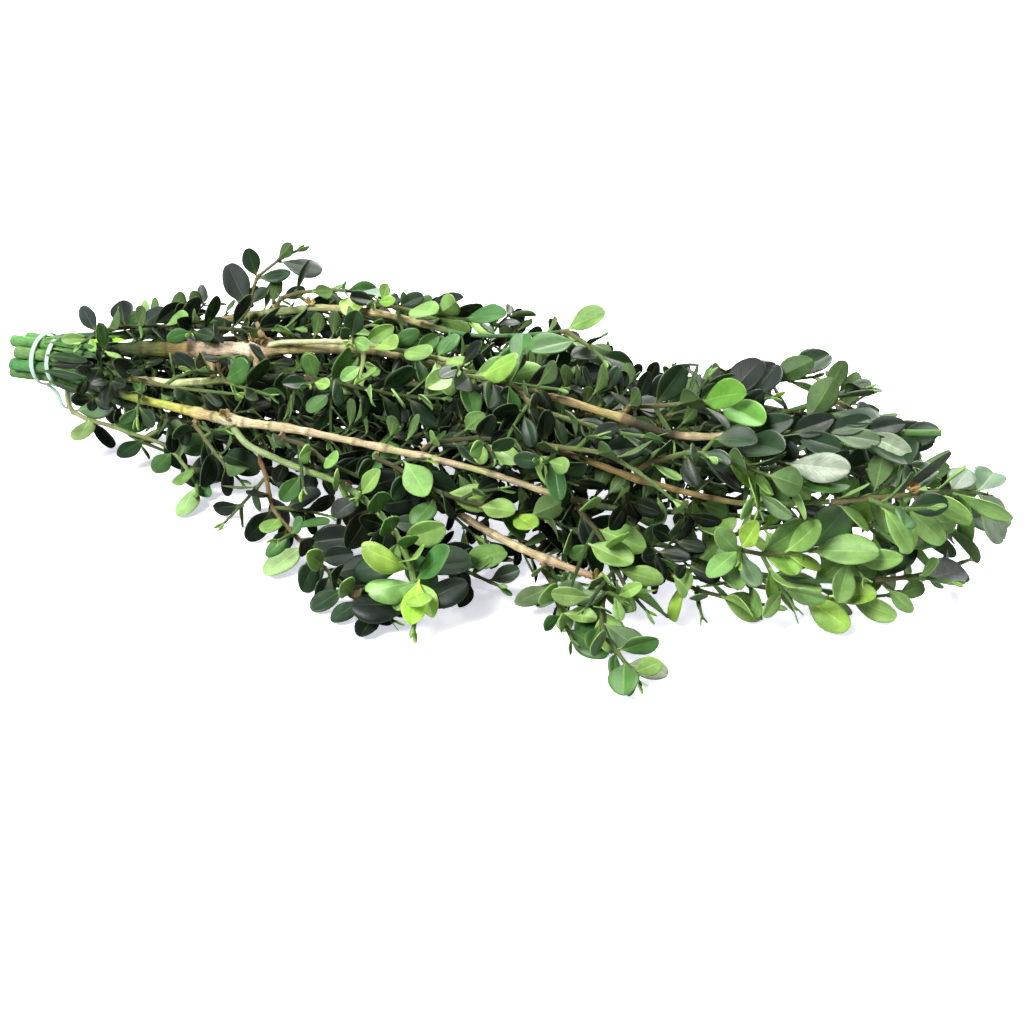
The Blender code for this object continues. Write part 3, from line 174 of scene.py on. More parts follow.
# stem, base: the stem that carries the spray, and the X at which it leaves it
# bare: length without leaves; leaf: length of a full leaf; step: from pair to pair
# roll: turn of the first leaf pair about the twig, in degrees
# forks: side twigs, each with its leaf pair, the side of it (0 or 1) and its length
Spray = namedtuple("Spray", "name stem base route bare leaf step roll forks")
TIP = None                # a spray that carries on from the end of its stem
SPRAYS = (
    # the loose shoot that stands up over the thin end
    Spray("stem_08_spray_3", 8, -119, (
        (-118, 31, 78), (-115, 34, 84), (-109, 40, 89), (-102, 46, 93)), 3, 18, 14, 155, ()),
    # small leaves beside the tie
    Spray("stem_08_spray_1", 8, -192, (
        (-184, 4, 57), (-168, 6, 60), (-150, 7, 62), (-134, 10, 65)), 2, 17, 9, 0, ((0, 1, 12),)),
    # the twig that hooks down from the tie
    Spray("stem_05_spray_1", 5, -208, (
        (-208, -4, 23), (-203, -9, 19), (-193, -15, 17), (-176, -15, 15), (-163, -18, 14),
        (-140, -23, 13), (-120, -37, 10), (-108, -48, 8), (-104, -54, 7)),
          18, 18, 13, 60, ((3, 0, 20), (4, 1, 18))),
    # lower left, low on the table
    Spray("stem_04_spray_1", 4, -80, (
        (-73, -46, 20), (-66, -56, 15), (-57, -67, 11), (-32, -88, 9), (-9, -107, 8),
        (12, -121, 7), (26, -128, 6)), 8, 18, 11, 10, ((1, 0, 26), (3, 1, 26), (6, 0, 20))),
    # the rosette of broad bright leaves at the front
    Spray("stem_03_spray_2", 3, -88, (
        (-78, -52, 34), (-52, -60, 31), (-22, -68, 29), (8, -90, 27), (26, -110, 22),
        (35, -124, 14), (38, -133, 8)), 60, 20, 9.5, 35, ((1, 0, 22), (3, 1, 20))),
    # front sprays on the table
    Spray("stem_04_tip", 4, TIP, (
        (102, -101, 13), (106, -114, 10), (117, -126, 7), (127, -138, 6)),
          4, 17, 9.5, 40, ((1, 0, 26),)),
    Spray("stem_04_spray_3", 4, 72, ((78, -90, 12), (86, -104, 9), (96, -120, 7)),
          4, 17, 9.5, 10, ((0, 1, 22),)),
    Spray("stem_04_spray_2", 4, -30, (
        (-12, -58, 17), (12, -76, 14), (34, -86, 11), (56, -93, 9)), 8, 17, 11, 30,
        ((1, 0, 28), (3, 1, 30), (5, 0, 24))),
    # right-hand end
    Spray("stem_06_tip", 6, TIP, ((202, -60, 57), (216, -44, 54), (228, -26, 48), (231, -20, 45)),
          3, 22.5, 11, 0, ((1, 0, 26), (1, 1, 26), (2, 0, 20))),
    Spray("stem_03_tip", 3, TIP, ((184, -47, 36), (206, -40, 37), (222, -24, 34), (229, -18, 31)),
          3, 24.5, 12, 60, ((1, 1, 28), (2, 0, 24))),
    Spray("stem_05_tip", 5, TIP, ((208, -49, 19), (219, -36, 18), (228, -22, 17)),
          3, 21.5, 11, 20, ((0, 0, 22), (1, 1, 22))),
    Spray("stem_01_spray_7", 1, 163, (
        (170, -38, 78), (182, -33, 76), (194, -40, 70), (204, -48, 64)),
          3, 23.5, 11, 10, ((1, 0, 22),)),
    Spray("stem_02_tip", 2, TIP, ((174, -12, 70), (184, -10, 68), (196, -8, 63)),
          3, 20, 10, 0, ((0, 1, 24),)),
    # upper right
    Spray("stem_01_spray_5", 1, 92, (
        (100, -46, 73), (118, -44, 76), (133, -46, 78), (145, -50, 77)),
          4, 20, 10, 0, ((1, 1, 26), (2, 0, 20))),
    Spray("stem_02_spray_5", 2, 104, (
        (114, -32, 68), (126, -22, 74), (142, -12, 77), (157, 0, 77)),
          6, 20, 10, 30, ((1, 0, 26), (2, 1, 24))),
    Spray("stem_01_spray_6", 1, 138, ((148, -62, 67), (162, -64, 64), (176, -62, 61)),
          4, 22.5, 11, 0, ((0, 1, 26), (1, 0, 22))),
    Spray("stem_06_spray_2", 6, 104, (
        (114, -72, 63), (130, -70, 67), (150, -72, 64), (166, -70, 59)),
          10, 19, 10, 45, ((1, 0, 26), (2, 0, 22))),
    Spray("stem_05_spray_3", 5, 150, (
        (158, -71, 16), (172, -67, 13), (188, -57, 10), (200, -48, 9)),
          4, 22.5, 11, 10, ((0, 1, 26), (2, 1, 24))),
    Spray("stem_05_spray_2", 5, 112, (
        (120, -78, 20), (132, -80, 15), (148, -77, 12), (160, -74, 10)),
          4, 20, 11, 70, ((1, 0, 24), (2, 0, 20))),
    Spray("stem_03_spray_7", 3, 128, (
        (136, -62, 31), (150, -72, 30), (166, -70, 32), (182, -62, 34)),
          5, 21.5, 10.5, 30, ((1, 1, 28), (2, 0, 26), (3, 0, 22))),
    Spray("stem_03_spray_6", 3, 82, (
        (90, -80, 36), (100, -88, 29), (108, -96, 21), (118, -100, 14)),
          5, 20, 10, 0, ((1, 0, 26), (2, 1, 24), (3, 0, 20))),
    # middle, along the front stem
    Spray("stem_03_spray_1", 3, -112, ((-104, -44, 30), (-94, -48, 22), (-84, -50, 15)),
          4, 18, 9, 20, ((0, 1, 18), (1, 1, 16))),
    Spray("stem_03_spray_3", 3, -58, (
        (-44, -60, 41), (-28, -68, 38), (-12, -68, 34), (4, -64, 31)),
          5, 19, 9.5, 10, ((1, 0, 24), (2, 1, 24))),
    Spray("stem_03_spray_4", 3, -8, (
        (4, -70, 42), (18, -76, 39), (35, -78, 36), (54, -76, 33), (74, -74, 31), (90, -78, 27)),
          4, 20, 10, 40, ((1, 1, 30), (3, 0, 30), (5, 1, 28))),
    Spray("stem_03_spray_5", 3, 12, (
        (24, -62, 54), (40, -62, 57), (60, -66, 56), (78, -76, 50)),
          6, 19, 10, 0, ((1, 0, 30), (2, 1, 28))),
    Spray("stem_06_spray_1", 6, 66, (
        (76, -72, 62), (92, -76, 64), (108, -80, 60), (122, -82, 52)),
          4, 19, 10, 20, ((1, 0, 26), (2, 0, 26))),
    # middle, along the upper stems
    Spray("stem_01_spray_2", 1, -98, (
        (-79, 4, 63), (-54, -2, 68), (-36, -7, 70), (-11, -14, 71), (12, -20, 72)),
          36, 18, 9, 10, ((1, 1, 26), (2, 0, 24), (3, 0, 24))),
    Spray("stem_01_spray_1", 1, -130, (
        (-118, -6, 52), (-108, -18, 48), (-92, -24, 48), (-78, -28, 48)),
          6, 18, 9, 30, ((1, 1, 22), (2, 0, 18))),
    Spray("stem_02_spray_1", 2, -160, (
        (-150, -20, 43), (-130, -27, 45), (-110, -31, 47), (-92, -34, 49)),
          4, 18, 9, 30, ((1, 0, 18), (3, 1, 20))),
    Spray("stem_02_spray_2", 2, -66, (
        (-50, -24, 57), (-30, -32, 59), (-10, -34, 59), (8, -34, 60)),
          4, 18, 9, 0, ((1, 0, 26), (2, 1, 26), (4, 1, 22))),
    Spray("stem_01_spray_3", 1, 6, ((18, -34, 72), (34, -46, 76), (50, -50, 77), (66, -52, 78)),
          4, 19, 9.5, 20, ((1, 1, 28), (2, 0, 26))),
    Spray("stem_01_spray_4", 1, 48, (
        (60, -56, 70), (76, -62, 70), (94, -66, 69), (110, -66, 69)),
          4, 19, 10, 50, ((1, 0, 26), (2, 1, 24))),
    Spray("stem_02_spray_3", 2, 10, ((24, -12, 64), (44, -10, 66), (64, -18, 66), (82, -26, 64)),
          4, 20, 10, 10, ((1, 1, 30), (2, 1, 28))),
    Spray("stem_02_spray_4", 2, 66, ((78, -30, 62), (94, -20, 64), (110, -14, 64), (126, -8, 62)),
          4, 20, 10, 10, ((1, 0, 30), (2, 1, 28))),
    # the top, from the back stem
    Spray("stem_08_spray_2", 8, -152, ((-142, 12, 63), (-124, 8, 65), (-104, 8, 67), (-86, 12, 68)),
          4, 18, 9, 0, ((1, 0, 18), (3, 1, 18))),
    Spray("stem_08_spray_4", 8, -104, ((-92, 30, 78), (-74, 34, 80), (-56, 33, 80)),
          6, 17, 9, 0, ((1, 1, 24), (2, 0, 20))),
    Spray("stem_08_spray_5", 8, -54, ((-40, 22, 79), (-24, 16, 80), (-8, 14, 80), (10, 14, 80)),
          4, 18, 9, 20, ((1, 0, 24), (2, 1, 20))),
    Spray("stem_08_tip", 8, TIP, ((54, 10, 78), (62, 4, 77), (70, -4, 75)),
          3, 20, 9, 0, ((1, 0, 20),)),
    # the inside and the back
    Spray("stem_07_tip", 7, TIP, ((176, -18, 48), (194, -14, 47), (208, -8, 44)),
          3, 21.5, 11, 0, ((1, 1, 26), (2, 0, 22))),
    Spray("stem_12_tip", 12, TIP, ((146, 2, 47), (164, 6, 46), (182, 12, 42), (198, 16, 36)),
          3, 20, 11, 30, ((1, 1, 28), (2, 1, 26))),
    Spray("stem_09_spray_1", 9, -124, (
        (-106, 46, 56), (-82, 52, 60), (-54, 54, 62), (-28, 50, 63)),
          6, 17, 10, 30, ((1, 1, 26), (3, 0, 26), (4, 1, 22))),
    Spray("stem_09_spray_2", 9, 20, ((38, 38, 52), (58, 34, 49), (80, 30, 45), (98, 26, 43)),
          6, 19, 11, 10, ((1, 1, 30), (2, 0, 28))),
    Spray("stem_09_tip", 9, TIP, ((164, 10, 56), (180, 10, 52), (196, 14, 46)),
          3, 20, 11, 0, ((1, 0, 26),)),
    Spray("stem_10_spray_1", 10, -112, (
        (-94, 50, 30), (-66, 62, 26), (-38, 68, 20), (-8, 70, 14), (18, 70, 11)),
          8, 19, 12, 0, ((1, 0, 28), (3, 1, 28), (5, 0, 24))),
    Spray("stem_10_spray_2", 10, 10, ((28, 56, 31), (52, 60, 29), (76, 60, 24), (98, 56, 17)),
          6, 20, 12, 0, ((1, 0, 28), (2, 1, 28), (4, 0, 24))),
    Spray("stem_10_tip", 10, TIP, ((166, 28, 30), (186, 26, 28), (206, 26, 24), (220, 24, 22)),
          3, 21.5, 12, 20, ((1, 1, 28), (2, 1, 26))),
    Spray("stem_11_tip", 11, TIP, ((186, 4, 18), (204, 10, 14), (218, 16, 11)),
          3, 20, 12, 0, ((1, 1, 24),)),
)

# the middles of the blades that show best, by spray: nearly all as a scratch script gave them
BLADES = {
    "stem_08_spray_3": ((-125, 27, 81), (-118, 32, 89), (-107.5, 36, 84), (-91, 42, 91)),
    "stem_08_spray_1": (
        (-195, 3, 62), (-182, 13, 64), (-175, 16, 64), (-164, 14, 64), (-145, 5, 66)),
    "stem_08_spray_4": ((-47, 25, 84), (-57, 12, 76)),
    "stem_08_spray_5": ((-18, 10, 82), (-11, 18, 84), (12, 13, 82)),
    "stem_08_tip": ((57, 15, 85), (63, -9, 78), (39, 13, 83), (44, -5, 78)),
    "stem_02_spray_3": ((33, -4, 76),),
    "stem_01_spray_2": ((-25, -15, 74), (-9, -19, 74), (1, -9, 76), (12, -23, 72)),
    "stem_02_spray_2": ((-39, -24, 58), (-49, -38, 52), (4, -24, 62)),
    "stem_01_spray_1": ((-96, -26, 50),),
    "stem_01_spray_3": ((43, -49, 80),),
    "stem_03_spray_2": (
        (39, -131, 19), (21, -123, 30), (30, -119, 28), (40, -119, 28), (26, -129, 21),
        (45, -120, 18), (22, -131, 14), (35, -134, 9), (44, -106, 26)),
    "stem_03_spray_3": ((-26, -71, 42), (-7, -59, 40)),
    "stem_03_spray_4": ((17, -78, 42), (39, -78, 38), (52, -80, 36), (64, -83, 34), (22, -86, 32)),
    "stem_03_spray_5": ((68, -73, 52),),
    "stem_04_spray_1": (
        (-65, -66, 18), (-43, -65, 18), (-51, -81, 12), (-31, -84, 14), (-13, -75, 20),
        (-36, -101, 6), (-22, -100, 6), (0, -104, 12), (-5, -121, 5), (6, -127, 5), (19, -132, 5),
        (31, -135, 5), (33, -127, 8)),
    "stem_03_spray_1": ((-86, -44, 18), (-99, -39, 30)),
    "stem_05_spray_1": (
        (-182, -28, 14), (-180, -12, 20), (-156, -29, 12), (-127, -31, 22), (-105, -61, 6),
        (-111, -46, 10), (-98, -41, 14), (-87, -58, 4)),
    "stem_04_tip": (
        (128, -127, 5), (109, -113, 8), (115, -112, 7), (125, -138, 4), (97, -102, 16),
        (103, -94, 16)),
    "stem_04_spray_3": (
        (72, -98, 10), (77, -96, 8), (95, -106, 10), (103, -128, 4), (102, -116, 8)),
    "stem_04_spray_2": ((49, -75, 14),),
    "stem_03_spray_6": ((102, -92, 30), (121, -88, 12)),
    "stem_05_spray_2": ((134, -82, 14), (152, -78, 8)),
    "stem_01_spray_5": ((132, -51, 82), (143, -55, 79)),
    "stem_01_spray_6": ((152, -66, 70), (173, -66, 66)),
    "stem_01_spray_7": ((177, -14, 80), (181, -44, 78), (200, -45, 76), (203, -50, 71)),
    "stem_02_spray_5": ((134, -20, 82), (143, -15, 82), (158, 1, 81)),
    "stem_06_spray_2": ((143, -69, 74), (184, -64, 62)),
    "stem_06_tip": ((206, -49, 60), (222, -28, 54), (234, -14, 48), (237, -20, 32)),
    "stem_03_tip": ((207, -53, 44), (233, -14, 36)),
    "stem_03_spray_7": (
        (139, -73, 38), (161, -70, 30), (150, -75, 28), (181, -52, 42), (189, -63, 38)),
    "stem_05_tip": ((203, -53, 26), (222, -42, 20)),
    "stem_05_spray_3": ((188, -62, 14), (168, -69, 16), (179, -56, 20), (181, -69, 6)),
}
TOWARD_VIEWER = Vector((0.1, -0.5, 0.86))     # the way that those blades look

# the wood that shows at the front: from X to X on a stem, or a length from a spray's foot
OPEN_STEMS = {
    "stem_01": ((-176, -30), (62, 140), (192, 214)), "stem_02": ((-150, -108),),
    "stem_03": ((-165, 58),), "stem_04": ((28, 94),), "stem_06": ((86, 146),),
    "stem_08": ((-70, -8),),
}
OPEN_TWIGS = {"stem_01_spray_2": 44, "stem_03_spray_2": 64, "stem_05_spray_1": 74,
              "stem_04_spray_1": 24}
VIEWER = Vector((243.0, -573.0, 281.0))        # as a scratch script placed the camera

# the bunch's outline as the viewer sees it against the upright plane Y = 0: X and height,
# set by hand after figures that a scratch script gave
SKYLINE = ((-240, 58), (-205, 62), (-190, 74), (-165, 80), (-140, 82), (-125, 96), (-80, 111),
           (-62, 108), (-58, 92), (-38, 97), (-12, 94), (20, 93), (46, 94), (66, 96), (71, 84),
           (75, 73), (94, 75), (125, 80), (152, 86), (167, 87), (180, 80), (188, 66), (212, 62),
           (218, 50), (240, 48))
FOOTLINE = ((-240, 28), (-216, 26), (-208, 4), (-200, -9), (-172, -9), (-155, -34),
            (-118, -44), (-92, -62), (-72, -80), (-25, -83), (2, -58), (10, -37), (25, -37),
            (38, -58), (58, -87), (93, -93), (106, -70), (112, -46), (122, -38), (176, -38),
            (203, -26), (223, -9), (240, 12))


# ---------------------------------------------------------------- curves and rings
def curve(a, b, c, d, t):
    """The point a share t of the way from b to c, on a smooth curve through all four."""
    return ((b * 2) + (c - a) * t + (a * 2 - b * 5 + c * 4 - d) * t * t
            + (b * 3 - a - c * 3 + d) * t ** 3) / 2


def smooth(points, step, ghost=None):
    """Points about step apart on a smooth curve through the given points."""
    pts = [Vector(p) for p in points]
    first = ghost or pts[0] * 2 - pts[1]
    pts = [first] + pts + [pts[-1] * 2 - pts[-2]]
    out = []
    for a, b, c, d in zip(pts, pts[1:], pts[2:], pts[3:]):
        count = max(1, round((c - b).length / step))
        out += [curve(a, b, c, d, k / count) for k in range(count)]
    return out + [pts[-2]]


class Path:
    """A line of points, read by the length along it."""

    def __init__(self, points):
        self.points = points
        self.marks = [0.0]
        for a, b in zip(points, points[1:]):
            self.marks.append(self.marks[-1] + (b - a).length)
        self.length = self.marks[-1]

    def point(self, s):
        s = min(max(s, 0.0), self.length)
        for k, mark in enumerate(self.marks[1:]):
            if s <= mark:
                a, b = self.points[k], self.points[k + 1]
                return a.lerp(b, (s - self.marks[k]) / (mark - self.marks[k]))
        return self.points[-1].copy()

    def tangent(self, s, reach=2.0):
        return (self.point(s + reach) - self.point(s - reach)).normalized()

    def length_at_x(self, x):
        for k, (a, b) in enumerate(zip(self.points, self.points[1:])):
            if a.x <= x <= b.x:
                return self.marks[k] + (b - a).length * (x - a.x) / (b.x - a.x)
        return self.length


def across(vector, tangent):
    """The part of a vector that is square to the tangent, as a unit vector."""
    return (vector - tangent * vector.dot(tangent)).normalized()


Ring = namedtuple("Ring", "middle u v tangent half")


def square(ring, grow=0.0):
    """The four corners of a twig's section, turning from u towards v."""
    half = ring.half + grow
    signs = ((1, 1), (-1, 1), (-1, -1), (1, -1))
    return [ring.middle + (ring.u * a + ring.v * b) * half for a, b in signs]


def sides(ring):
    """The way each of the four faces of a twig looks."""
    return (ring.v, -ring.u, -ring.v, ring.u)


# ---------------------------------------------------------------- keeping pieces apart
CELL = 24.0


class Space:
    """The solids placed so far, and whether a new one is clear of them."""

    def __init__(self):
        self.cells = {}

    @staticmethod
    def box(points):
        low = [min(p[k] for p in points) for k in range(3)]
        high = [max(p[k] for p in points) for k in range(3)]
        return low, high

    @staticmethod
    def keys(low, high):
        spans = [range(int(low[k] // CELL), int(high[k] // CELL) + 1) for k in range(3)]
        return [(i, j, k) for i in spans[0] for j in spans[1] for k in spans[2]]

    def add(self, points, faces, owner):
        low, high = self.box(points)
        item = (low, high, BVHTree.FromPolygons(points, faces), owner)
        for key in self.keys(low, high):
            self.cells.setdefault(key, []).append(item)

    def is_clear(self, points, faces, owner=None):
        """Whether a solid touches nothing, apart from what its own owner holds."""
        low, high = self.box(points)
        tree = None
        seen = set()
        for key in self.keys(low, high):
            for item in self.cells.get(key, ()):
                if id(item) in seen or item[3] == owner:
                    continue
                seen.add(id(item))
                if any(item[0][k] > high[k] or item[1][k] < low[k] for k in range(3)):
                    continue
                tree = tree or BVHTree.FromPolygons(points, faces)
                if tree.overlap(item[2]):
                    return False
        return True


def walls(low, high, count):
    """The faces between two rings of count corners, whose first corners are low and high."""
    after = [(k + 1) % count for k in range(count)]
    return [(low + k, low + n, high + n, high + k) for k, n in enumerate(after)]


def fan(faces):
    """Each face cut into triangles from its first corner."""
    return [(f[0], f[k], f[k + 1]) for f in faces for k in range(1, len(f) - 1)]


def tube_faces(count):
    """The faces between two rings of count corners, and the caps."""
    caps = [tuple(reversed(range(count))), tuple(range(count, 2 * count))]
    return fan(walls(0, count, count) + caps)


# ---------------------------------------------------------------- stems
def stem_path(stem):
    """Straight through the tie, then fanned out along the stem's own route."""
    turn = math.radians(stem.angle)
    y = stem.ring * math.cos(turn)
    z = TIE_HEIGHT + stem.ring * math.sin(turn)
    leave = Vector((TIE_EXIT_X, y, z))
    fanned = smooth((leave,) + stem.route, STEM_STEP, ghost=leave - Vector((STEM_STEP, 0, 0)))
    return Path([Vector((CUT_X + stem.cut, y, z))] + fanned)


def stem_rings(path):
    """The six-sided sections of a stem, tapering to its far end."""
    side = Vector((0, 0, 1))
    rings = []
    for k, point in enumerate(path.points):
        ahead = path.points[min(k + 1, len(path.points) - 1)]
        behind = path.points[max(k - 1, 0)]
        tangent = (ahead - behind).normalized()
        side = across(side, tangent)
        along = max(0.0, path.marks[k] - path.marks[1]) / path.length
        radius = STEM_RADIUS + (STEM_END_RADIUS - STEM_RADIUS) * along
        rings.append(Ring(point, side, tangent.cross(side), tangent, radius))
    return rings


def hexagon(ring, grow=0.0):
    turns = [math.tau * k / STEM_SIDES for k in range(STEM_SIDES)]
    reach = ring.half + grow
    return [ring.middle + (ring.u * math.cos(t) + ring.v * math.sin(t)) * reach for t in turns]


# ---------------------------------------------------------------- twigs and leaves
# foot: the four corners of the collar face that the leaf grows from, under its keel first
# turn: how many corners further along the collar face that first one is
Leaf = namedtuple("Leaf", "foot turn base axis normal length width bend tone", defaults=("",))


class Twig:
    """A twig's sections, the collars among them, and what grows from each collar."""

    def __init__(self, rings, collars, leaf, foot=None):
        self.rings = rings
        self.collars = collars      # index of the lower ring of each collar
        self.leaf = leaf
        self.foot = foot            # the collar face that a side twig grows from
        self.growth = {}            # (collar, side): Leaf or Twig

    def quad(self, collar, side):
        low = square(self.rings[self.collars[collar]])
        high = square(self.rings[self.collars[collar] + 1])
        after = (side + 1) % 4
        return (low[side], low[after], high[after], high[side])

    def blocks(self, grow=0.0):
        """Each straight piece of the twig as a closed box."""
        ends = [square(r, grow) for r in self.rings]
        if self.foot:
            ends[0] = list(self.foot[1:] + self.foot[:1])
        last = self.rings[-1]
        tip = last.middle + last.tangent * BUD
        found = [a + b for a, b in zip(ends, ends[1:])]
        return found + [ends[-1] + [tip + (c - last.middle) * 0.1 for c in ends[-1]]]


def collar_marks(length, bare, step):
    """Where the leaf pairs sit, closer together towards the tip."""
    marks = []
    s = bare
    while s < length - TIP_REST:
        marks.append(s)
        s += step
        step = max(step * STEP_SHRINK, STEP_LEAST)
    return marks


def plan_twig(path, first_tangent, side, bare, leaf, step, foot=None):
    """Sections along a path: plain ones where it is bare, two for each leaf pair."""
    marks = collar_marks(path.length, bare, step)
    stations = [(0.0, False)]
    for mark in marks:
        start = stations[-1][0]
        extra = int((mark - NODE_HALF - start) // TWIG_STEP)
        gap = (mark - NODE_HALF - start) / (extra + 1)
        stations += [(start + gap * (k + 1), False) for k in range(extra)]
        stations += [(mark - NODE_HALF, True), (mark + NODE_HALF, False)]
    stations.append((max(path.length, stations[-1][0] + 2.0), False))
    rings, collars = [], []
    for s, is_collar in stations:
        tangent = path.tangent(s) if rings else first_tangent
        side = across(side, tangent)
        half = TWIG_HALF + (TWIG_END_HALF - TWIG_HALF) * s / (path.length + 1.0)
        if is_collar:
            collars.append(len(rings))
        rings.append(Ring(path.point(s), side, tangent.cross(side), tangent, half))
    return Twig(rings, collars, leaf, foot)


def twig_is_clear(twig, space, owner):
    """Whether a twig has room; its first piece starts close to what carries it."""
    rest = twig.blocks(SWELL)[1:]
    if not space.is_clear(twig.blocks()[0], tube_faces(4), owner):
        return False
    for points in rest:
        if min(p.z for p in points) < 1.0 or not space.is_clear(points, tube_faces(4)):
            return False
    return True


def nudges(tries):
    """Small moves to try in turn, in wider and wider circles."""
    yield Vector((0, 0, 0))
    for k in range(tries):
        reach = 2.0 + 2.0 * (k // 8)
        turn = math.tau * (k % 8) / 8 + 0.4 * (k // 8)
        yield Vector((0, math.cos(turn) * reach, math.sin(turn) * reach))


def spray_foot(spray, stems):
    """Where a spray starts on its stem, which way it leaves, and the stem's way there."""
    path = stems[spray.stem - 1][0]
    rings = stems[spray.stem - 1][1]
    if spray.base is TIP:
        tangent = rings[-1].tangent
        return rings[-1].middle + tangent * GAP, tangent, rings[-1].v
    s = path.length_at_x(spray.base)
    middle = path.point(s)
    along = path.tangent(s)
    out = across(Vector(spray.route[0]) - middle, along)
    near = min(rings, key=lambda r: (r.middle - middle).length)
    return middle + out * (near.half + GAP), out, along


def main_twig(spray, stems, space):
    """The spray's own twig, moved a little if another piece is in its way."""
    foot, out, along = spray_foot(spray, stems)
    lean = out * 3.0 + (Vector() if spray.base is TIP else along * 1.0)
    side = along
    for shift in nudges(TWIG_TRIES):
        route = [foot, foot + lean] + [Vector(p) + shift for p in spray.route]
        path = Path(smooth(route, CURVE_STEP))
        turn = math.radians(spray.roll)
        start = across(side, out)
        start = start * math.cos(turn) + out.cross(start) * math.sin(turn)
        twig = plan_twig(path, out, start, spray.bare, spray.leaf, spray.step)
        if twig_is_clear(twig, space, spray.name):
            break
    return twig


def height_at(line, x):
    """The height of an outline at X."""
    for (x0, low), (x1, high) in zip(line, line[1:]):
        if x < x1:
            return low + (high - low) * (x - x0) / (x1 - x0)
    return line[-1][1]


def in_outline(point):
    """Whether the viewer sees a point within the bunch's outline."""
    share = VIEWER.y / (VIEWER.y - point.y)
    seen = VIEWER + (point - VIEWER) * share
    return height_at(FOOTLINE, seen.x) < seen.z < height_at(SKYLINE, seen.x)


def side_twig(parent, collar, side, length, step, space, owner, rng):
    """A short leafy twig from a collar face, or nothing if there is no room."""
    ring = parent.rings[parent.collars[collar]]
    out = sides(ring)[side]
    quad = parent.quad(collar, side)
    foot = sum(quad, Vector()) / 4
    for k in range(FORK_TRIES):
        heading = (out + ring.tangent * rng.uniform(*FORK_AHEAD)).normalized()
        sway = out.cross(ring.tangent) * rng.uniform(-FORK_SWAY, FORK_SWAY) * (1 + 0.1 * k)
        heading = (heading + sway).normalized()
        rise = Vector((0.0, 0.0, rng.uniform(*FORK_CLIMB)))
        end = foot + (heading + rise).normalized() * length
        end.z = min(end.z, foot.z + FORK_RISE)
        bend = foot + heading * length * 0.5
        bend.z = min(bend.z, foot.z + FORK_BEND_RISE)
        path = Path(smooth((foot, bend, end), CURVE_STEP))
        start = heading.cross(across(quad[0] - quad[1], heading))
        leaf = parent.leaf * FORK_LEAF
        twig = plan_twig(path, heading, start, FORK_BARE, leaf, step * FORK_STEP, quad)
        if in_outline(end) and twig_is_clear(twig, space, owner):
            return twig
        length = max(FORK_LEAST, length * FORK_SHRINK)
    return None


# a leaf's corners: 0 to 3 its foot, 4 its keel, 5 and 6 its edges, 7 and 8 its blunt tip
LEAF_FACES = fan(((0, 1, 4), (1, 2, 5, 4), (2, 3, 6, 5), (0, 4, 6, 3),
                  (4, 5, 7), (5, 6, 8, 7), (6, 4, 8), (4, 7, 8)))


def make_leaf(quad, axis, normal, length, width, bend):
    """A leaf on a collar face, its foot's corners taken in the order that twists it least."""
    wide = axis.cross(normal)

    def fit(turn):
        a, b, c, d = quad[turn:] + quad[:turn]
        return (a + d - b - c).dot(wide) + (c + d - a - b).dot(normal)

    turn = max(range(4), key=fit)
    base = sum(quad, Vector()) / 4
    return Leaf(quad[turn:] + quad[:turn], turn, base, axis, normal, length, width, bend)


def leaf_points(leaf, grow=0.0, lift=0.0, rise=0.0):
    """The foot, the keeled widest section and the blunt tip of a leaf, as it is or swollen.

    Lift moves the foot off the leaf's own twig, to see whether the rest touches it.
    Rise lifts the edges, to keep room above the blade.
    """
    wide = leaf.axis.cross(leaf.normal)
    droop = leaf.normal * -leaf.bend
    middle = leaf.base + leaf.axis * leaf.length * WIDEST + droop * 0.3
    tip = leaf.base + leaf.axis * (leaf.length + grow) + droop
    half = leaf.width / 2 + grow
    foot = [q.lerp(middle, lift) for q in leaf.foot]
    keel = middle - leaf.normal * (LEAF_THICK + grow)
    edges = [middle + wide * (half * a) + leaf.normal * rise for a in (-1, 1)]
    ends = [tip + wide * (half * TIP_WIDTH * a) for a in (-1, 1)]
    return foot + [keel] + edges + ends


def plan_leaf(twig, collar, side, size, light, step, rng):
    """One leaf on a collar face; a later step tries a wider range of angles."""
    ring = twig.rings[twig.collars[collar]]
    out = sides(ring)[side]
    loose = min(1.0, FIRST_LOOSE + TRY_LOOSER * step)
    spread = math.radians(SPREAD + rng.uniform(*SPREAD_OFF) * loose)
    axis = ring.tangent * math.cos(spread) + out * math.sin(spread)
    sway = out.cross(ring.tangent) * rng.uniform(-LEAF_SWAY, LEAF_SWAY) * loose
    axis = (axis + sway).normalized()
    flat = across(ring.tangent, axis)
    normal = across(flat + light * rng.uniform(*TO_LIGHT), axis)
    if normal.dot(flat) < LEAST_FLAT:
        normal = across(flat + normal * 0.8, axis)
    length = twig.leaf * size * (1 - TRY_SHORTER * step) * rng.uniform(*LENGTH_OFF)
    width = length * LEAF_ASPECT * rng.uniform(*WIDTH_OFF)
    bend = length * rng.uniform(*DROOP)
    return make_leaf(twig.quad(collar, side), axis, normal, length, width, bend)


def is_sound(leaf):
    """Whether every face of a leaf looks away from its middle, so that its foot is not twisted."""
    corners = leaf_points(leaf)
    hearts = [leaf.base + leaf.axis * leaf.length * share - leaf.normal * HEART_DEEP
              for share in HEART_SHARES]
    for a, b, c in LEAF_FACES:
        out = (corners[b] - corners[a]).cross(corners[c] - corners[a]).normalized()
        if max(out.dot(corners[a] - heart) for heart in hearts) < -HEART_SLACK:
            return False
    return True


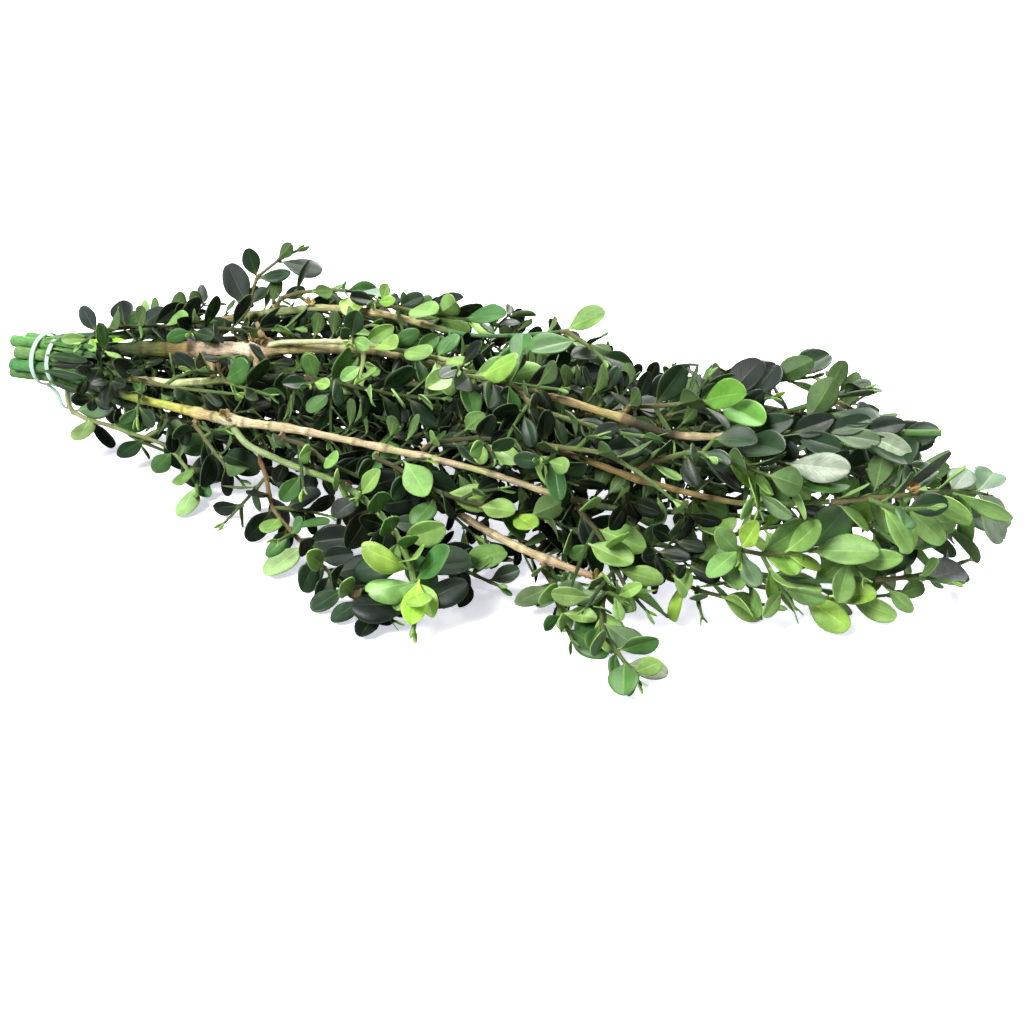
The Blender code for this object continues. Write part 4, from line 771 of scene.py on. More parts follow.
def leaf_fits(leaf, space, owner):
    """Whether a leaf is sound and clear of the table and of all else; it is kept if so."""
    if not is_sound(leaf):
        return False
    for rise in (0.0, SWELL):
        free = leaf_points(leaf, SWELL, FOOT_LIFT, rise)
        if min(p.z for p in free) < SWELL or not space.is_clear(free, LEAF_FACES):
            return False
        if not space.is_clear(leaf_points(leaf, SWELL, 0.0, rise), LEAF_FACES, owner):
            return False
    space.add(leaf_points(leaf), LEAF_FACES, owner)
    return True


def grow_leaf(twig, collar, side, space, owner, rng):
    """The first leaf pose that touches nothing; none if every pose is taken."""
    count = len(twig.collars)
    from_tip = count - 1 - collar
    size = 1.0
    if from_tip < 2:
        size = TIP_SIZES[from_tip]
    elif collar == 0:
        size = 0.8
    light = Vector((rng.uniform(-0.4, 0.4), rng.uniform(-0.7, 0.3), 1.0)).normalized()
    for step in range(LEAF_TRIES):
        leaf = plan_leaf(twig, collar, side, size, light, step, rng)
        tip = leaf.base + leaf.axis * leaf.length
        if in_outline(tip) and leaf_fits(leaf, space, owner):
            return leaf
    return None


def collar_sides(collar):
    return (0, 2) if collar % 2 == 0 else (1, 3)


def free_faces(branches):
    """Every collar face of a spray that carries nothing yet."""
    for branch in branches:
        for collar in range(len(branch.collars)):
            for side in collar_sides(collar):
                if (collar, side) not in branch.growth:
                    yield branch, collar, side


def suited_faces(branches, target):
    """The free collar faces that a leaf at the target could grow from, the best first."""
    found = []
    for branch, collar, side in free_faces(branches):
        ring = branch.rings[branch.collars[collar]]
        out = sides(ring)[side]
        reach = target - sum(branch.quad(collar, side), Vector()) / 4
        length = reach.length / BLADE_MIDDLE
        way = reach.normalized()
        lack = max(0.0, LEAST_OUT - way.dot(out))
        cost = abs(math.log(length / branch.leaf)) + lack * LACK_COST
        cost += max(0.0, -way.dot(ring.tangent))
        if cost < WORST_FACE:
            way = (way + out * lack).normalized()
            found.append((cost, len(found), branch, collar, side, way, length))
    return [item[2:] for item in sorted(found)[:AIMED_FACES]]


def jitter(reach, rng):
    return Vector([rng.uniform(-reach, reach) for _ in range(3)])


def aimed_leaf(branches, target, tone, space, owner, rng):
    """A leaf whose blade lies at the target, if a suited face has room for it."""
    for branch, collar, side, way, length in suited_faces(branches, target):
        length = min(max(length, branch.leaf * AIMED_LEAST), branch.leaf * AIMED_MOST)
        quad = branch.quad(collar, side)
        for k in range(AIMED_TRIES):
            loose = AIMED_LOOSE * k
            axis = (way + jitter(loose, rng)).normalized()
            normal = across(TOWARD_VIEWER + jitter(loose, rng) * AIMED_TURN, axis)
            width = length * LEAF_ASPECT * AIMED_WIDE
            leaf = make_leaf(quad, axis, normal, length, width, length * AIMED_DROOP)
            if leaf_fits(leaf, space, owner):
                branch.growth[collar, side] = leaf._replace(tone=tone)
                return


def add_twig(twig, space, owner):
    for points in twig.blocks():
        space.add(points, tube_faces(4), owner)


def add_stem(stem, space):
    path = stem_path(stem)
    rings = stem_rings(path)
    for low, high in zip(rings, rings[1:]):
        space.add(hexagon(low) + hexagon(high), tube_faces(STEM_SIDES), stem.name)
    return path, rings


def add_forks(spray, twig, space, rng):
    for collar, flip, length in spray.forks:
        if collar < len(twig.collars):
            side = collar_sides(collar)[flip]
            fork = side_twig(twig, collar, side, length, spray.step, space, spray.name, rng)
            if fork:
                twig.growth[collar, side] = fork
                add_twig(fork, space, spray.name)


def keep_open(points, space):
    """Keeps leaves away from the viewer's side of a line of wood."""
    for a, b in zip(points, points[1:]):
        way = (VIEWER - (a + b) / 2).normalized()
        side = way.cross(b - a).normalized()
        block = []
        for end in (a, b):
            for reach, half in ((OPEN_NEAR, OPEN_HALF[0]), (OPEN_FAR, OPEN_HALF[1])):
                block += [end + way * reach + side * half, end + way * reach - side * half]
        index = (0, 1, 3, 2, 4, 5, 7, 6)
        space.add([block[k] for k in index], tube_faces(4), "open")


def keep_wood_open(stems, twigs, space):
    for stem, (path, _) in zip(STEMS, stems):
        for low, high in OPEN_STEMS.get(stem.name, ()):
            marks = [low + (high - low) * k / 8 for k in range(9)]
            keep_open([path.point(path.length_at_x(x)) for x in marks], space)
    for spray, twig in zip(SPRAYS, twigs):
        length = OPEN_TWIGS.get(spray.name, 0)
        middles = [r.middle for r in twig.rings]
        near = [p for p in middles if (p - middles[0]).length < length]
        keep_open(near, space)


def branches_of(twig):
    return [twig] + [item for item in twig.growth.values() if isinstance(item, Twig)]


def plan_bunch():
    """Stems first, then every twig, then the leaves that still find room."""
    space = Space()
    stems = [add_stem(stem, space) for stem in STEMS]
    twigs = []
    for spray in SPRAYS:
        twigs.append(main_twig(spray, stems, space))
        add_twig(twigs[-1], space, spray.name)
    for number, (spray, twig) in enumerate(zip(SPRAYS, twigs)):
        add_forks(spray, twig, space, random.Random(FORK_SEED + number))
    for number, (spray, twig) in enumerate(zip(SPRAYS, twigs)):
        rng = random.Random(BLADE_SEED + number)
        targets = zip(BLADES.get(spray.name, ()), BLADE_TONES.get(spray.name, ""))
        for target, tone in targets:
            aimed_leaf(branches_of(twig), Vector(target), tone, space, spray.name, rng)
    keep_wood_open(stems, twigs, space)
    for number, (spray, twig) in enumerate(zip(SPRAYS, twigs)):
        rng = random.Random(LEAF_SEED + number)
        for branch, collar, side in list(free_faces(branches_of(twig))):
            branch.growth[collar, side] = grow_leaf(branch, collar, side, space, spray.name, rng)
    return stems, twigs, space


# ---------------------------------------------------------------- colours
def linear(red, green, blue):
    """A display colour, 0 to 255, as the light that it stands for."""
    shares = [c / 255 for c in (red, green, blue)]
    return np.array([c / 12.92 if c < 0.04 else ((c + 0.055) / 1.055) ** 2.4 for c in shares])


# the upper face of a leaf, by the letter used in the tables
TONE_COLORS = {
    "n": (19, 27, 22),      # painted shade: the near-black of leaves in the shade deep inside
    "k": (20, 33, 26),      # nearly black
    "d": (30, 56, 32),      # dark
    "m": (66, 110, 54),     # middle green
    "g": (94, 124, 86),     # grey-green
    "l": (122, 163, 88),    # light
    "y": (136, 180, 76),    # young
    "Y": (148, 198, 62),    # youngest and brightest
    "p": (140, 176, 114),   # pale
    "b": (170, 140, 110),   # a dry bud scale
    "r": (128, 84, 62),     # a dry seed husk
    "s": (142, 160, 138),   # painted sheen: a silvery reflection painted into the colour
    "v": (166, 166, 168),   # painted sheen: a silvery reflection with a purple cast, painted into the colour
    "e": (62, 72, 70),      # slate
    "j": (84, 140, 52),     # fresh green
}
TONES = {tone: linear(*color) for tone, color in TONE_COLORS.items()}
# tones whose silvery look is a painted reflection
PAINTED_SHEEN_TONES = "sv"
SLENDER = "mglyYp"
GLOSS = {"n": 0.15, "k": 0.7, "b": 0.1, "r": 0.1}     # of a leaf's usual sheen
UNDERSIDE = linear(132, 172, 96)
PALE_VEIN = linear(176, 200, 120)
# the green of the streaks that break the painted sheen
STREAK_GREEN = linear(84, 120, 88)
PALE_WOOD = linear(214, 196, 150)

# a tone for each of the blades that show best, in the order of BLADES
BLADE_TONES = {
    "stem_08_spray_3": "edde", "stem_08_spray_1": "ekmkl", "stem_08_spray_4": "sy",
    "stem_08_spray_5": "lkm", "stem_08_tip": "lkkm", "stem_02_spray_3": "m",
    "stem_01_spray_2": "llml", "stem_02_spray_2": "lml", "stem_01_spray_1": "m",
    "stem_01_spray_3": "y", "stem_03_spray_2": "yylmlkkdd", "stem_03_spray_3": "lm",
    "stem_03_spray_4": "lllym", "stem_03_spray_5": "l", "stem_04_spray_1": "kklmkpdkddkdd",
    "stem_03_spray_1": "dk", "stem_05_spray_1": "pmdgplkm", "stem_04_tip": "slgmgl",
    "stem_04_spray_3": "gglmm", "stem_04_spray_2": "l", "stem_03_spray_6": "ll",
    "stem_05_spray_2": "yl", "stem_01_spray_5": "jj", "stem_01_spray_6": "ds",
    "stem_01_spray_7": "kddd", "stem_02_spray_5": "kkd", "stem_06_spray_2": "dm",
    "stem_06_tip": "sggs", "stem_03_tip": "mg", "stem_03_spray_7": "lylml",
    "stem_05_tip": "dv", "stem_05_spray_3": "ylly",
}

# where a leaf's middle lies and how covered it may be, and the tones found there; the first that
# holds is taken: X from and to, Y from and to, height from and to, most cover, tones; leaves
# more covered, and low ones at the back, fall to darker tones as painted shade
TONE_PLACES = (
    (-212, -180, -30, 30, 50, 70, 9, "l"),
    (-70, 22, -99, 99, 64, 200, 9, "llllmmmdyk"),
    (22, 60, -99, 99, 62, 200, 9, "kkkddddmml"),
    (60, 140, -200, -80, 0, 30, 9, "lllmmgg"),
    (0, 50, -200, -100, 14, 200, 9, "llym"),
    (90, 300, -200, -35, 0, 60, 4, "llllllllyyyymg"),
    (60, 300, -99, 200, 66, 200, 9, "kkkkkkddddd"),
    (-300, 90, 5, 200, 0, 60, 1, "kkkkkdddddmmg"),
    (90, 300, -200, 200, 0, 200, 1, "kkkkddddddmms"),
    (-300, 60, -200, 200, 0, 30, 1, "kkkdddmml"),
    (-300, -70, -200, 200, 0, 200, 1, "kkkkddddmmlg"),
    (-300, 300, -200, 200, 0, 200, 1, "kkkddddmmmll"),
)


def usual_tone(point, cover, rng):
    """A tone for a leaf that no table names, by how deep in the bunch and where it sits; deeper
    leaves get darker tones, as painted shade.
    """
    for x0, x1, y0, y1, z0, z1, most, mix in TONE_PLACES:
        inside = x0 < point.x < x1 and y0 < point.y < y1 and z0 < point.z < z1
        if inside and cover <= most:
            return rng.choice(mix)
    # painted shade: near-black tones for leaves deeper in the bunch
    return rng.choice("nnnnnkkkd" if point.x < 60 else "nnkkkkkddd")


# the middle line of the bunch: X, Y and height
CORE = ((-240, 0, 39), (-100, 0, 38), (0, -20, 36), (100, -35, 38), (240, -25, 38))
COVER_WIDE = 9.0
COVER_DEEP = (3.0, 40.0)


class Cover:
    """How many leaves lie between a point and the outside of the bunch."""

    def __init__(self, middles):
        self.middles = np.array([tuple(p) for p in middles])

    def over(self, point):
        at = np.array(tuple(point))
        core = [np.interp(at[0], [c[0] for c in CORE], [c[k] for c in CORE]) for k in (1, 2)]
        out = np.array((0.0, at[1] - core[0], at[2] - core[1]))
        out /= max(np.linalg.norm(out), 0.1)
        away = self.middles - at
        deep = away @ out
        wide = np.linalg.norm(away - deep[:, None] * out, axis=1)
        near = (deep > COVER_DEEP[0]) & (deep < COVER_DEEP[1]) & (wide < COVER_WIDE)
        return int(near.sum())


# ---------------------------------------------------------------- skins
CLEAR_OF_TABLE = 0.15


class Skin:
    """The points, faces and colours of one piece, in millimetres of the plan."""

    def __init__(self):
        self.points = []
        self.faces = []
        self.flat = []
        self.tint = []
        self.place = []
        self.part = []
        self.count = 0

    def add(self, points, faces, flat, color, alpha=1.0, place=0.0, part=0.0):
        """Points with what each carries, as arrays or one value for all; faces by corner."""
        count = len(points)
        tint = np.empty((count, 4))
        tint[:, :3] = color
        tint[:, 3] = alpha
        self.points.append(points)
        self.faces.extend((np.asarray(faces) + self.count).tolist())
        self.flat.extend(flat)
        self.tint.append(tint)
        self.place.append(np.broadcast_to(place, (count, 3)))
        self.part.append(np.broadcast_to(part, (count, 3)))
        self.count += count

    def make(self, name, material, shift):
        """The skin as an object, in metres and in the frame of the CAD part."""
        mesh = bpy.data.meshes.new(name)
        points = np.concatenate(self.points) + np.array(shift)
        points[:, 2] = np.maximum(points[:, 2], CLEAR_OF_TABLE)
        points *= MM
        mesh.from_pydata(points.tolist(), [], self.faces)
        mesh.polygons.foreach_set("use_smooth", ~np.array(self.flat, bool))
        for key, kind, values in (("tint", "FLOAT_COLOR", self.tint),
                                  ("place", "FLOAT_VECTOR", self.place),
                                  ("part", "FLOAT_VECTOR", self.part)):
            layer = mesh.attributes.new(key, kind, "POINT")
            field = "color" if kind == "FLOAT_COLOR" else "vector"
            layer.data.foreach_set(field, np.concatenate(values).astype(np.float32).ravel())
        mesh.update()
        mesh.materials.append(material)
        made = bpy.data.objects.new(name, mesh)
        bpy.context.scene.collection.objects.link(made)
        return made


# ---------------------------------------------------------------- leaf blades
STALK = 0.07              # share of a leaf's length that is its stalk
STALK_HALF = 0.42
STALK_THICK = 0.75
BLADE_THICK = 0.3
LEAST_HALF_TO = 0.2       # up to here a blade is no narrower than its stalk
SUNK = 0.5                # how far a stalk starts inside its twig
RIB = 0.05                # half the width of the rib, over that of the blade
RIB_DEEP, GROOVE = 0.28, 0.1            # below the blade and above it
NOTCH, NOTCH_FROM = 0.02, 0.97          # the small notch at the tip
ROLL_FROM = 0.7           # where the margin starts to turn down
WAVES = 7.0
PALE_FOOT = 0.45          # how much paler a blade is near its stalk
# rows along a blade and columns across it
FINE = (np.array((0, 0.06, 0.1, 0.18, 0.29, 0.42, 0.55, 0.68, 0.79, 0.88, 0.945, 0.982, 1)),
        np.array((-1, -0.84, -0.46, -0.1, 0, 0.1, 0.46, 0.84, 1)))
SMALL = (np.array((0, 0.08, 0.26, 0.52, 0.78, 0.94, 1)), np.array((-1, -0.5, 0, 0.5, 1)))

# top: the upper face's colour; then how much silvery reflection is painted into it, as painted
# sheen broken by greener streaks; gloss: how shiny; under: the underside's colour
# fold: how far the edges rise, over the half width; roll: how the margins turn down
# tip, wide: roundness of the tip, and how far out the blade is widest; wave, phase: undulation
# sway: how far the tip curves to one side, over the length; slim: its width, over the usual
Look = namedtuple("Look", "top bloom gloss under fold roll tip wide wave phase sway slim")
GRIDS = {}


def blade_grid(rows, columns):
    """Corner numbers of the faces of a blade: upper face, underside and rim."""
    if (rows, columns) in GRIDS:
        return GRIDS[rows, columns]
    under = rows * columns
    faces = []
    for i in range(rows - 1):
        for j in range(columns - 1):
            a = i * columns + j
            faces.append((a, a + 1, a + columns + 1, a + columns))
            faces.append((under + a, under + a + columns, under + a + columns + 1, under + a + 1))
    flat = [False] * len(faces)
    border = [j for j in range(columns)]
    border += [i * columns + columns - 1 for i in range(1, rows)]
    border += [(rows - 1) * columns + j for j in range(columns - 2, -1, -1)]
    border += [i * columns for i in range(rows - 2, 0, -1)]
    for a, b in zip(border, border[1:] + border[:1]):
        faces.append((a, under + a, under + b, b))
        flat.append(True)
    GRIDS[rows, columns] = (np.array(faces), flat)
    return GRIDS[rows, columns]


def blade_outline(t, look):
    """Half the width of a blade along its length, over its greatest half width."""
    turn = np.sin(np.pi * np.clip(t, 0, 1) ** look.wide)
    return np.maximum(np.clip(turn, 0, 1) ** (0.86 + (look.tip - 0.86) * t), 0.1 * (t > 0.9))


def blade_skin(skin, leaf, look, grid=FINE):
    """One leaf: a stalk, a folded and drooping blade with a rib below, and a thin rim."""
    rows, columns = grid
    s, v = np.meshgrid(rows, columns, indexing="ij")
    base, axis, normal = (np.array(k) for k in (leaf.base, leaf.axis, leaf.normal))
    wide = np.cross(axis, normal)
    t = (s - STALK) / (1 - STALK)
    stalk = t <= 0
    half = np.where(stalk, STALK_HALF, blade_outline(t, look) * leaf.width * look.slim / 2)
    half = np.maximum(half, STALK_HALF * (s < LEAST_HALF_TO))
    reach = np.abs(v)
    rib = np.where(reach < RIB, 1.0, 0.0) * (1 - s)
    across_mm = v * half
    notch = np.where(s > NOTCH_FROM, np.maximum(0, 1 - reach * 2.2), 0)
    along_mm = (leaf.length + SUNK) * s - SUNK
    along_mm = along_mm - leaf.length * NOTCH * notch
    lift = look.fold * half * reach ** 1.5
    lift = lift - look.roll * half * np.maximum(0, reach - ROLL_FROM) ** 2 * 5
    lift = lift + look.wave * half * v * np.sin(s * WAVES + look.phase)
    lift = lift - leaf.bend * s ** 2.2
    side = across_mm + look.sway * leaf.length * s ** 2
    thick = np.where(stalk, STALK_THICK, BLADE_THICK) + rib * RIB_DEEP
    top = spread_out(base, axis, wide, normal, along_mm, side, lift - rib * GROOVE)
    low = spread_out(base, axis, wide, normal, along_mm, side, lift - thick)
    young = np.clip(1 - s * 3.2, 0, 1)[..., None] * PALE_FOOT
    top_tint = look.top * (1 - young) + (look.top * 0.5 + PALE_VEIN * 0.5) * young
    low_tint = look.under * (1 - young) + (look.under * 0.6 + PALE_VEIN * 0.4) * young
    color = np.concatenate((top_tint, low_tint)).reshape(-1, 3)
    place = np.stack((along_mm, across_mm, np.full_like(s, look.gloss)), -1).reshape(-1, 3)
    part = np.zeros((2,) + s.shape + (3,))
    part[..., 0] = s
    part[..., 1] = reach
    part[1, ..., 2] = 1.0
    # the tint's alpha carries the painted sheen of the upper face
    skin.add(np.concatenate((top, low)), *blade_grid(len(rows), len(columns)), color,
             np.repeat((look.bloom, 0.0), s.size), np.concatenate((place, place)),
             part.reshape(-1, 3))


def spread_out(base, axis, wide, normal, along, side, lift):
    """Points of a grid laid out from a leaf's base along its own three ways."""
    found = base + along[..., None] * axis + side[..., None] * wide + lift[..., None] * normal
    return found.reshape(-1, 3)


def look_of(tone, rng):
    """The colours and the shape of one leaf."""
    shade = rng.uniform(0.86, 1.16)
    warm = np.array((rng.uniform(0.94, 1.16), 1.0, rng.uniform(0.85, 1.08)))
    top = TONES[tone] * shade * warm
    # the painted shade of the n tone, and dry scales and husks, keep little of the pale underside
    share = 0.25 if tone in "nbr" else 0.36 if tone in "kde" else 0.72
    under = UNDERSIDE * rng.uniform(0.75, 1.1) * share + top * (1 - share)
    fold = rng.uniform(0.12, 0.5) if rng.random() < 0.8 else rng.uniform(-0.2, 0.04)
    slim = rng.uniform(0.8, 0.94) if tone in SLENDER else rng.uniform(0.88, 1.0)
    return Look(top, 1.0 if tone in PAINTED_SHEEN_TONES else 0.0, GLOSS.get(tone, 1.0), under, fold,
                rng.uniform(0.0, 0.5), rng.uniform(0.36, 0.56), rng.uniform(1.05, 1.36),
                rng.uniform(0.0, 0.07), rng.uniform(0, 6.3), rng.uniform(-0.07, 0.07), slim)


# ---------------------------------------------------------------- round and square wood
ROUND = np.array([(math.cos(math.tau * k / 14), math.sin(math.tau * k / 14)) for k in range(14)])
FOUR_ANGLED = np.array(((1.1, 0.42), (0.78, 0.78), (0.42, 1.1), (-0.42, 1.1), (-0.78, 0.78),
                        (-1.1, 0.42), (-1.1, -0.42), (-0.78, -0.78), (-0.42, -1.1),
                        (0.42, -1.1), (0.78, -0.78), (1.1, -0.42)))
SEVEN_SIDED = ROUND[::2]


def tube_skin(skin, rings, section, tints, uneven=None, ends=(None, None)):
    """A skin over rings; each end can be a cut face of its own colour."""
    count = len(section)
    middles = np.array([r.middle for r in rings])
    us = np.array([r.u for r in rings])
    vs = np.array([r.v for r in rings])
    halves = np.array([r.half for r in rings])[:, None]
    reach = halves * (1 if uneven is None else uneven)
    a, b = section[:, 0] * reach, section[:, 1] * reach
    points = middles[:, None] + us[:, None] * a[..., None] + vs[:, None] * b[..., None]
    steps = np.linalg.norm(np.diff(middles, axis=0), axis=1)
    along = np.concatenate(([0.0], np.cumsum(steps)))
    faces = []
    for i in range(len(rings) - 1):
        faces += walls(i * count, (i + 1) * count, count)
    place = np.zeros((len(rings), count, 3))
    place[..., 0] = along[:, None]
    place[..., 1:] = section
    skin.add(points.reshape(-1, 3), faces, [False] * len(faces),
             np.repeat(np.array(tints), count, 0), place=place.reshape(-1, 3))
    for end, color in zip((0, -1), ends):
        if color is not None:
            cut_skin(skin, points[end], end == 0, color)


CUT_LOOPS = (1.0, 0.86, 0.25)           # rim, wood and pith, over the radius
CUT_SHADES = (0.55, 1.0, 0.7)


def cut_skin(skin, border, backward, color):
    """The cut face of a stem: pale wood with a darker pith and a darker rim."""
    middle = border.mean(0)
    loops = [middle + (border - middle) * share for share in CUT_LOOPS]
    count = len(border)
    faces = walls(0, count, count) + walls(count, 2 * count, count)
    faces = [tuple(reversed(f)) for f in faces] if backward else faces
    shades = np.repeat([color * share for share in CUT_SHADES], count, 0)
    skin.add(np.concatenate(loops), faces, [True] * len(faces), shades)
    last = np.arange(count)[::-1] if backward else np.arange(count)
    hub = np.concatenate((loops[2], middle[None]))
    hub_faces = [(int(last[k]), int(last[(k + 1) % count]), count) for k in range(count)]
    skin.add(hub, hub_faces, [True] * count, color * CUT_SHADES[2])


def finer(rings, step):
    """More rings on a smooth curve through the given ones."""
    middles = [r.middle for r in rings]
    pts = [middles[0] * 2 - middles[1]] + middles + [middles[-1] * 2 - middles[-2]]
    out = []
    for k in range(len(rings) - 1):
        a, b, c, d = pts[k:k + 4]
        count = max(1, round((c - b).length / step))
        for j in range(count):
            t = j / count
            point = curve(a, b, c, d, t)
            slope = ((c - a) + (a * 2 - b * 5 + c * 4 - d) * (2 * t)
                     + (b * 3 - a - c * 3 + d) * (3 * t * t)).normalized()
            u = across(rings[k].u.lerp(rings[k + 1].u, t), slope)
            half = rings[k].half + (rings[k + 1].half - rings[k].half) * t
            out.append(Ring(point, u, slope.cross(u), slope, half))
    return out + [rings[-1]]


# ---------------------------------------------------------------- stems
# how the bark's colour runs along a stem: X on the plan, and colour
GREEN_BARK = (98, 150, 88)
OLIVE_BARK = (84, 96, 54)
TAN_BARK = (208, 190, 150)
# painted shade: dark olive where a stem lies in the shade inside the bunch
SHADED_BARK = (46, 56, 34)
BARK_RUNS = {
    "stem_01": ((-185, (84, 120, 64)),
                (-177, (44, 62, 28)), (-166, (56, 68, 32)), (-152, (100, 98, 44)),
                (-140, (134, 110, 62)), (-126, (240, 216, 188)),
                (-104, (244, 218, 188)), (-96, (196, 166, 128)),
                (-60, (200, 180, 140)), (40, TAN_BARK), (55, (190, 165, 115)),
                (90, (190, 165, 115)), (97, (60, 56, 36)),
                (114, (60, 56, 36)), (120, TAN_BARK), (140, TAN_BARK),
                (150, (96, 116, 70)), (213, (92, 140, 70))),
    "stem_03": ((-196, (70, 110, 52)), (-185, SHADED_BARK),
                (-164, SHADED_BARK), (-156, (150, 162, 70)),
                (-136, (186, 190, 90)), (-124, (228, 210, 120)),
                (-112, (216, 192, 124)), (-100, (190, 164, 124)),
                (-92, (236, 218, 190)), (-84, TAN_BARK), (64, TAN_BARK),
                (90, OLIVE_BARK), (164, (96, 124, 62))),
    "stem_02": ((-160, (110, 140, 70)), (-150, (246, 246, 196)),
                (-130, (240, 242, 186)), (-112, (200, 212, 144)),
                (-100, SHADED_BARK), (20, (70, 80, 46)), (165, (96, 120, 62))),
    "stem_06": ((-190, (60, 90, 46)), (-150, SHADED_BARK),
                (64, (70, 66, 42)), (92, (150, 124, 74)),
                (140, (150, 128, 80)), (152, (96, 124, 62))),
    "stem_08": ((-170, (80, 110, 56)), (-130, (150, 130, 96)),
                (-90, (150, 168, 110)), (-66, (206, 186, 132)), (-18, (190, 176, 124)),
                (-5, (96, 140, 80)), (44, (90, 132, 72))),
    "stem_04": ((-190, (60, 90, 46)), (-150, SHADED_BARK),
                (-60, (112, 92, 62)), (14, (180, 152, 112)),
                (60, (226, 204, 160)), (94, (190, 160, 124))),
    "stem_05": ((-190, (60, 90, 46)), (-150, SHADED_BARK),
                (50, SHADED_BARK), (90, (66, 92, 48)), (196, (76, 112, 56))),
}
CUT_END = ((-240, GREEN_BARK),)         # every run starts here
TIED_GREEN = -186         # before this X each stem has a green of its own
# mostly painted shade along the middle of a stem
USUAL_BARK = ((-200, (66, 120, 52)), (-170, SHADED_BARK),
              (80, SHADED_BARK), (130, (70, 90, 48)), (200, (84, 110, 58)))

# girth along a stem, over the CAD stem's: X and girth
TIED_GIRTH = ((-240, 1.1), (-206, 1.1))
GIRTHS = {
    "stem_01": ((-178, 1.3), (-150, 1.4), (-114, 1.38), (-106, 1.6),
                (-99, 1.65), (-92, 1.1), (-60, 0.9), (60, 0.8), (213, 0.85)),
    "stem_03": ((-170, 0.74), (-124, 0.84), (-98, 0.95), (-92, 1.2),
                (-86, 0.88), (-40, 0.7), (60, 0.68), (164, 0.6)),
    "stem_06": ((-160, 0.7), (60, 0.7), (140, 0.66)),
    "stem_08": ((-160, 0.8), (-20, 0.8), (0, 0.55), (44, 0.5)),
    "stem_02": ((-160, 0.8), (-90, 0.62), (165, 0.7)),
    "stem_04": ((-160, 0.7), (0, 0.75), (60, 0.95), (94, 0.9)),
    "stem_05": ((-160, 0.7), (60, 0.6), (196, 0.55)),
}
USUAL_GIRTH = ((-160, 0.74), (200, 0.74))
NODE_STEPS = {"stem_01": (11, 19), "stem_03": (14, 22), "stem_08": (14, 20), "stem_04": (12, 18),
              "stem_06": (12, 18)}


def run_at(run, x):
    """The colour or girth of a run at X."""
    for (x0, low), (x1, high) in zip(run, run[1:]):
        if x < x1:
            share = min(max((x - x0) / (x1 - x0), 0.0), 1.0)
            return low * (1 - share) + high * share
    return run[-1][1]


def wobble(t, seed):
    """A smooth value between about -1 and 1."""
    return (math.sin(t * 1.0 + seed) + math.sin(t * 2.3 + seed * 1.7)
            + 0.6 * math.sin(t * 5.1 + seed * 2.9)) / 2.6


def node_marks(stem, length, rng):
    """Where the old leaf pairs of a stem stood, by the way along it."""
    low, high = NODE_STEPS.get(stem.name, (21, 34))
    marks, s = [], rng.uniform(34, 46)
    while s < length - 8:
        marks.append(s)
        s += rng.uniform(low, high) * rng.choice((1.0, 1.0, 1.6))
    return marks


def stem_skin(skin, stem, rings, feet):
    """Bark with ridges, swollen where twigs leave, ringed at old leaf pairs."""
    rng = random.Random(stem.name)
    seed = rng.uniform(0, 9)
    fine = finer(rings, 1.8)
    run = [(x, linear(*color)) for x, color in CUT_END + BARK_RUNS.get(stem.name, USUAL_BARK)]
    girths = TIED_GIRTH + GIRTHS.get(stem.name, USUAL_GIRTH)
    marks = [0.0]
    for a, b in zip(fine, fine[1:]):
        marks.append(marks[-1] + (b.middle - a.middle).length)
    nodes = np.array(node_marks(stem, marks[-1], rng) or [-99.0])
    swollen, tints = [], []
    own = np.array((rng.uniform(0.8, 1.3), rng.uniform(0.9, 1.15), rng.uniform(0.7, 1.05)))
    for ring, mark in zip(fine, marks):
        swell = 0.05 * wobble(mark * 0.12, seed) + 0.03 * wobble(mark * 0.6, seed + 5)
        off = float(np.abs(nodes - mark).min())
        swell += 0.13 * math.exp(-(off / 2.4) ** 2) + 0.07 * math.exp(-(off / 0.9) ** 2)
        shade = 1 + 0.25 * math.exp(-((off - 2.6) / 1.1) ** 2) - 0.5 * math.exp(-(off / 0.8) ** 2)
        for foot in feet:
            away = (ring.middle - foot).length
            swell += 0.42 * math.exp(-(away / 4.5) ** 2)
            shade -= 0.12 * math.exp(-(away / 3.5) ** 2)
        girth = run_at(girths, ring.middle.x) * (0.97 + swell)
        swollen.append(ring._replace(half=ring.half * girth))
        tied = min(max((TIED_GREEN - ring.middle.x) / 10, 0.0), 1.0)
        tint = run_at(run, ring.middle.x) * shade * (own * tied + 1 - tied)
        tints.append(tint * (1 + 0.14 * wobble(mark * 0.21, seed + 3)))
    turns = np.arange(len(ROUND)) * math.tau / len(ROUND)
    s = np.array(marks)[:, None]
    rough = np.array([max(0.0, g - 1.12) for g in (run_at(girths, r.middle.x) for r in fine)])
    uneven = (1 + 0.045 * np.sin(turns * 3 + s * 0.03 + seed)
              + 0.03 * np.sin(turns * 5 - s * 0.11 + seed * 2)
              + 0.02 * np.sin(turns * 2 + s * 0.7)
              + rough[:, None] * 0.42 * np.sin(turns * 4 + s * 0.35)
              * np.sin(s * 0.9 + turns * 2 + seed))
    tube_skin(skin, swollen, ROUND, tints, uneven, (PALE_WOOD, PALE_WOOD))


# broken side shoots on the thickest stem: foot, end and half width
STUBS = (((-125, -1, 52), (-116, -13, 46), 1.7), ((-102, 2, 54), (-95, -9, 48), 1.5),
         ((-100, 8, 60), (-106, 12, 67), 1.2))
STUB_WOOD = linear(196, 160, 120)


